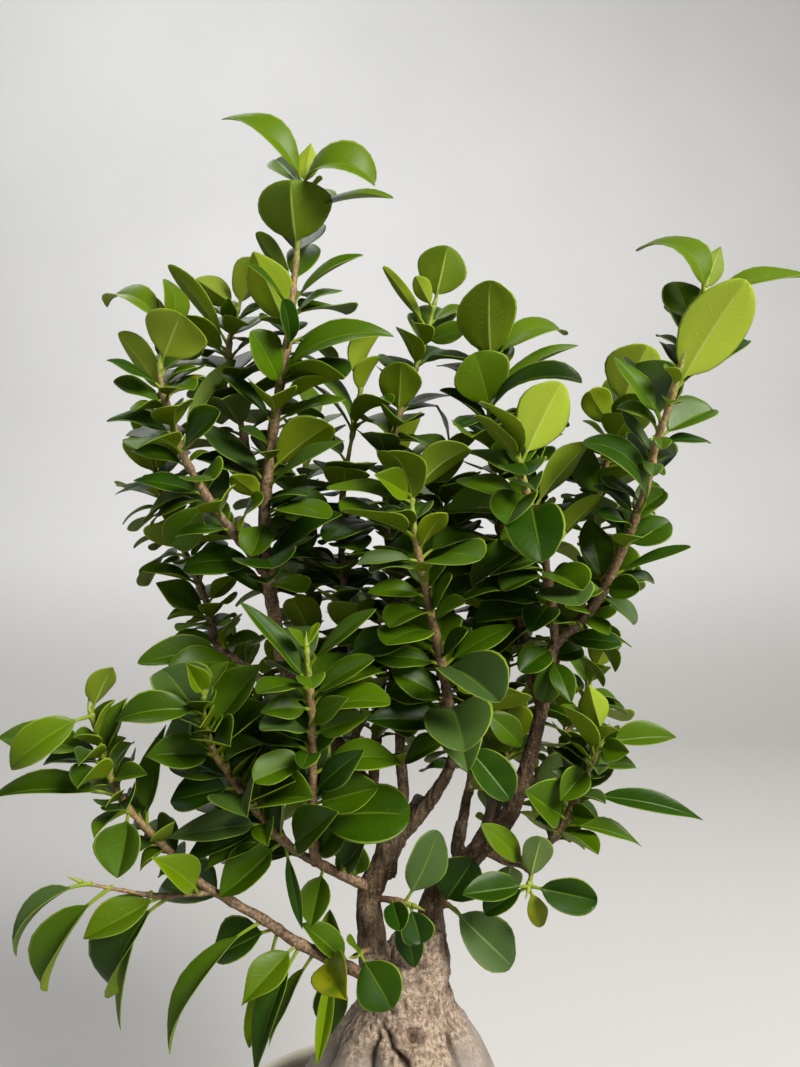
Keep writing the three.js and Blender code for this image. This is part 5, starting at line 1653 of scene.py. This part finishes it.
class Bundle:
    """Collects skins and their corner values until they become one mesh."""

    def __init__(self):
        self.points, self.count = [], 0
        self.faces, self.places, self.tones, self.kinds = (([], []) for _ in range(4))

    def add(self, points, faces, places, tone, kind):
        """Appends one skin: its quads and its triangles with their corner values."""
        for k in (0, 1):
            self.faces[k].append(faces[k] + self.count)
            self.places[k].append(places[k])
            self.tones[k].append(np.broadcast_to(tone, (faces[k].size, 3)))
            self.kinds[k].append(np.full(len(faces[k]), kind))
        self.points.append(points)
        self.count += len(points)

    def build(self, name):
        """One mesh, held just inside the box of the solids, with a material for each face."""
        quads, triangles = (np.concatenate(part) for part in self.faces)
        places, tones, kinds = (
            np.concatenate([*part[0], *part[1]]) for part in (self.places, self.tones, self.kinds)
        )
        points = np.clip(np.concatenate(self.points), BOX_LOW + SKIN_GAP, BOX_HIGH - SKIN_GAP)
        data = {"leaf_place": places, "leaf_tone": tones}
        piece = make_mesh(name, points + PLANT, quads, triangles, data)
        piece.data.polygons.foreach_set("material_index", kinds.astype(np.int32))
        return piece


print("the skins stay", SKIN_GAP, "mm inside the box of the solids")

# %% [markdown]
# A kind of leaf says how light it is, how young, and its age. The kinds of a few big leaves are told
# one by one, by shoot and number in the sketch, as they stand out, and the others are drawn.

# %% Kinds of leaf
# The old kind is a dull bluish green: partly an old leaf's colour, partly a painted sheen of the sky.
KINDS = {
    "pale": (0.7, 0.92, 0.0), "fresh": (0.5, 0.42, 0.0), "green": (0.22, 0.0, 0.0),
    "deep": (0.0, 0.0, 0.0), "old": (0.4, 0.0, -1.0), "yellow": (0.6, 0.6, 0.9),
}
TOLD = {
    "left_tall": {0: "green"}, "left_outer": {0: "fresh"}, "centre_top": {0: "green"},
    "right_centre": {0: "green", 1: "fresh", 2: "fresh"}, "right_inner": {0: "pale"},
    "right_tall": {0: "pale", 1: "fresh", 3: "fresh"},
    "right_drop": {0: "fresh", 1: "old", 2: "green", 3: "green", 4: "deep", 5: "yellow", 6: "old"},
    "neck_right": {0: "old", 1: "deep"}, "neck_front": {0: "old", 1: "deep", 2: "deep", 3: "deep"},
    "neck_left": {0: "green"}, "left_low_side": {2: "fresh", 3: "green", 4: "fresh", 5: "pale"},
    "left_low": {10: "fresh", 11: "green", 15: "yellow", 16: "pale", 17: "pale", 18: "pale"},
}
YELLOW_CHANCE, YELLOW_LONGEST = 0.012, 42
OLD_SHEEN_CHANCE, OLD_SHEEN_END = 0.13, 0.88
NO_TONE = (0, 0, 0)


def leaf_tone(entry, draw):
    """Dark or light, young near the end of the shoot, and its age: above 0 it yellows now and then,
    and below 0 it is a dull, bluish leaf, partly an old leaf's colour and partly a painted sky sheen."""
    kind = TOLD.get(entry["name"], {}).get(entry["number"])
    if kind:
        return np.array(KINDS[kind])
    t, size = entry["t"], entry["leaf"].size
    young = smoothstep(0.86, 1.0, t) * draw.uniform(0.2, 0.9)
    small = smoothstep(26, 12, size) * 0.3
    turning = draw.random() < YELLOW_CHANCE and size < YELLOW_LONGEST
    yellow = draw.uniform(0.5, 1.0) if turning else 0.0
    dull = draw.random() < OLD_SHEEN_CHANCE
    age = -draw.uniform(0.5, 1.0) if dull and t < OLD_SHEEN_END and not yellow else yellow
    return np.array([draw.random(), min(1.0, young + small), age])


def build_stem(node, names, draw):
    """The twigs, buds and leaves of one node."""
    bundle = Bundle()
    for name in names:
        points, t = twig_points(name)
        faces = ring_faces(len(t), TWIG_SIDES)
        along = np.concatenate([np.repeat(t, TWIG_SIDES), [0, 1]])
        bundle.add(points, faces, tube_corners(faces, along), NO_TONE, BARK)
        points = bud_points(name)
        faces = ring_faces(BUD_ROWS, TWIG_SIDES)
        along = np.full(len(points), PAST_TWIG)
        bundle.add(points, faces, tube_corners(faces, along), NO_TONE, BARK)
    for entry in [p for p in placed if p["name"] in names]:
        tone = leaf_tone(entry, draw)
        points = leaf_points(entry["leaf"], draw)
        bundle.add(points, (LEAF_QUADS, LEAF_FANS), LEAF_PLACES, tone, LEAF)
    return bundle.build("leafy_" + node)


print("leaves whose kind is told:", sum(len(told) for told in TOLD.values()))

# %% [markdown]
# ## Leaf material
# The upper side has a thick waxy skin: deep green, glossy, with a paler midrib and faint side
# veins. A yellow-green rim along the margin is painted light: the glow of a thin edge that catches
# the light. The underside is paler, yellower and duller, with a pale green midrib.
# A leaf is thin enough for light to pass, so a share of a translucent shader lets it glow from behind.

# %% Leaf shader
VEINS = 13
VEIN_LEAN = 2.6
FULL_TURN = 6.283
SHEER = 0.2
# Strength and colour of what is young, old, a vein and the midrib, on either side of a leaf. The old
# colour, a dull bluish green, is partly an old leaf's own colour and partly a painted sheen of the sky.
TOP_LAYERS = (
    (1.0, rgb(0.11, 0.17, 0.0015)), (0.75, rgb(0.047, 0.082, 0.022)),
    (0.13, rgb(0.09, 0.16, 0.01)), (0.42, rgb(0.14, 0.22, 0.02)),
)
UNDER_LAYERS = (
    (0.9, rgb(0.3, 0.38, 0.03)), (0.75, rgb(0.07, 0.11, 0.04)),
    (0.22, rgb(0.26, 0.36, 0.05)), (0.7, rgb(0.36, 0.45, 0.1)),
)


def side_veins(u, away):
    """1 on the side veins: a sine of the place along the leaf less the way out to the margin."""
    phase = (u * VEINS - away * VEIN_LEAN) * FULL_TURN
    return phase.math("SINE", phase).step(0.8, 1.0)


def side_color(color, masks, layers):
    """The greens of a side, and over them a colour laid on by each mask at its strength."""
    for mask, (strength, layer) in zip(masks, layers):
        color = (mask * strength).mix(color, layer)
    return color


def leaf_material():
    """An upper and a lower side, a painted rim of light along the margin, a stalk and spots,
    and a share of light from behind.
    """
    material, start = new_material("leaf")
    u, v, side = kept_values(start, "leaf_place")
    shade, young, age = kept_values(start, "leaf_tone")
    place = object_place(start)
    across = v * 2 - 1
    away = across.math("ABSOLUTE", across)
    cloud = start.speckle(place, 70, 3)
    blotch = start.speckle(place, 260, 2)
    midrib = (away * (u * 1.3 + 0.45)).step(0.055, 0.012) * u.step(1.0, 0.75)
    margin = away.step(0.91, 0.96)
    # old: a dull bluish green, partly an old leaf's colour and partly a painted sheen of the sky.
    old = age.step(0.0, -1.0)
    stalk = u.step(0.035, 0.0)
    veins = side_veins(u, away) * away.step(0.95, 0.6) * blotch.step(0.35, 0.7)
    tone = shade * 0.75 + cloud * 0.4
    masks = (young, old, veins, midrib)
    top = tone.step(0.15, 0.95).mix(rgb(0.009, 0.0335, 0.0008), rgb(0.048, 0.098, 0.001))
    under = tone.step(0.1, 1.0).mix(rgb(0.065, 0.108, 0.001), rgb(0.155, 0.215, 0.003))
    color = side.mix(side_color(under, masks, UNDER_LAYERS), side_color(top, masks, TOP_LAYERS))
    # Painted light: a pale yellow-green rim along the margin, the glow of a thin edge catching light.
    color = (margin * 0.65).mix(color, rgb(0.22, 0.3, 0.03))
    color = stalk.mix(color, rgb(0.17, 0.23, 0.015))
    color = (age * (cloud.step(0.35, 0.6) * 0.8)).mix(color, rgb(0.24, 0.23, 0.005))
    color = (age * blotch.step(0.66, 0.72)).mix(color, rgb(0.07, 0.035, 0.012))
    normal = bump(veins * 0.4 + cloud * 0.6, 0.00012)
    roughness = side * -0.2 + 0.52 + blotch * 0.08 + old * 0.08
    front = coat(color, roughness, {"Specular IOR Level": 0.14, "Normal": normal})
    through = start.node("ShaderNodeBsdfTranslucent", None, {"Color": rgb(0.26, 0.38, 0.002)})
    output(start.node("ShaderNodeMixShader", None, {0: SHEER, 1: front, 2: through}))
    return material


def twig_material():
    """Brown bark with specks of cork, then tan, then green towards the end of the shoot."""
    material, start = new_material("twig_bark")
    along = kept_values(start, "leaf_place")[0]
    place = object_place(start)
    fine = start.speckle(place, 520, 5, 0.6)
    specks = start.speckle(place, 900, 1)
    bark = fine.step(0.34, 0.68).mix(rgb(0.045, 0.024, 0.011), rgb(0.2, 0.118, 0.055))
    bark = (specks.step(0.62, 0.7) * 0.45).mix(bark, rgb(0.36, 0.26, 0.16))
    tan = fine.step(0.3, 0.7).mix(rgb(0.11, 0.065, 0.02), rgb(0.25, 0.165, 0.055))
    green = fine.step(0.3, 0.7).mix(rgb(0.11, 0.15, 0.008), rgb(0.19, 0.24, 0.015))
    color = (along + fine * 0.2).step(0.4, 0.85).mix(bark, tan)
    color = (along + fine * 0.1).step(0.82, 0.97).mix(color, green)
    output(coat(color, fine * 0.25 + 0.5, {"Normal": bump(fine, 0.0005)}))
    return material


print("side veins on each half of a leaf:", VEINS)

# %% Build all leafy stems
FIRST_STEM_SEED = 100
leaf_green = leaf_material()
twig_bark = twig_material()
for number, (node, names) in enumerate(PIECES.items()):
    draw = np.random.default_rng(SEED + FIRST_STEM_SEED + number)
    piece = build_stem(node, names, draw)
    finish_piece(piece, [node], [twig_bark, leaf_green])

# %% [markdown]
# ## Floor and light
# A pale floor bends up far behind the plant into a backdrop, so no horizon line shows. One big soft
# lamp stands to the right in front, as a window would, a weak one to the left, one behind the plant and
# one before the backdrop, and an even sky fills the shadows.

# %% Stage
FLOOR_HALF = 3000
FLOOR_DROP = 0.2
BACKDROP_START = 1500
BACKDROP_BEND = 900
BACKDROP_HEIGHT = 3200
BEND_STEPS = 24


def backdrop():
    """A strip: flat floor, a quarter circle, and a wall."""
    turn = np.linspace(0, np.pi / 2, BEND_STEPS)
    bend = BACKDROP_BEND
    path = np.concatenate([
        [[-FLOOR_HALF, 0]],
        np.stack([BACKDROP_START + bend * np.sin(turn), bend - bend * np.cos(turn)], -1),
        [[BACKDROP_START + bend, BACKDROP_HEIGHT]],
    ])
    x = np.array([-FLOOR_HALF, FLOOR_HALF])
    points = np.stack([
        np.broadcast_to(x[None], (len(path), 2)), np.broadcast_to(path[:, :1], (len(path), 2)),
        np.broadcast_to(path[:, 1:], (len(path), 2)),
    ], -1).reshape(-1, 3)
    row = np.arange(len(path) - 1)[:, None] * 2
    quads = row + np.array([0, 1, 3, 2])
    points[:, 2] -= FLOOR_DROP
    floor = make_mesh("floor", points, quads, np.zeros((0, 3), int))
    return floor


def plain_paint():
    """Two close tones of grey in clouds, darker near the floor."""
    material, start = new_material("pale_wall")
    place = object_place(start)
    height = parts_of(place)[2]
    cloud = start.speckle(place, 3, 2)
    color = cloud.mix(rgb(0.54, 0.54, 0.548), rgb(0.595, 0.59, 0.588))
    color = height.step(0.5, 0.0).mix(color, rgb(0.39, 0.38, 0.37))
    output(coat(color, 0.85))
    return material


backdrop().data.materials.append(plain_paint())
print("floor and backdrop", 2 * FLOOR_HALF, "mm wide")

# %% Lamps and sky
MIDDLE = (0, 0, 400)
LAMPS = (
    ("window", (1300, -1200, 1700), MIDDLE, 1000, 123, (1.0, 0.98, 0.94)),
    ("fill", (-1700, -900, 900), MIDDLE, 1500, 10, (0.95, 0.98, 1.0)),
    ("rear", (-800, 1300, 2300), MIDDLE, 1200, 13, (1.0, 1.0, 0.97)),
    ("backdrop_lamp", (-900, 700, 2600), (-900, 2300, 400), 1500, 26, (0.96, 0.985, 1.0)),
)


def lamp(name, place, aim, size, power, color):
    """A square area lamp at a place in millimetres, turned to face aim."""
    light = bpy.data.lights.new(name, "AREA")
    light.shape = "SQUARE"
    light.size = size * MM
    light.energy = power
    light.color = color
    stand = bpy.data.objects.new(name, light)
    way = np.array(aim, float) - np.array(place, float)
    stand.location = [value * MM for value in place]
    stand.rotation_euler = Vector(way).to_track_quat("-Z", "Y").to_euler()
    bpy.context.scene.collection.objects.link(stand)


for values in LAMPS:
    lamp(*values)
world = bpy.data.worlds.new("studio")
bpy.context.scene.world = world
world.use_nodes = True
sky = world.node_tree.nodes["Background"]
sky.inputs["Color"].default_value = rgb(1.0, 0.99, 0.95)
sky.inputs["Strength"].default_value = 0.24
bpy.context.scene.view_settings.view_transform = "Standard"
print("lamps:", len(LAMPS))

# %% [markdown]
# ## The box of the solids
# The dressed plant must stay inside the box of the solids, whose corners are printed here.

# %% Size and finish
print("solids:", [tuple(round(v, 4) for v in corner) for corner in cad_box])
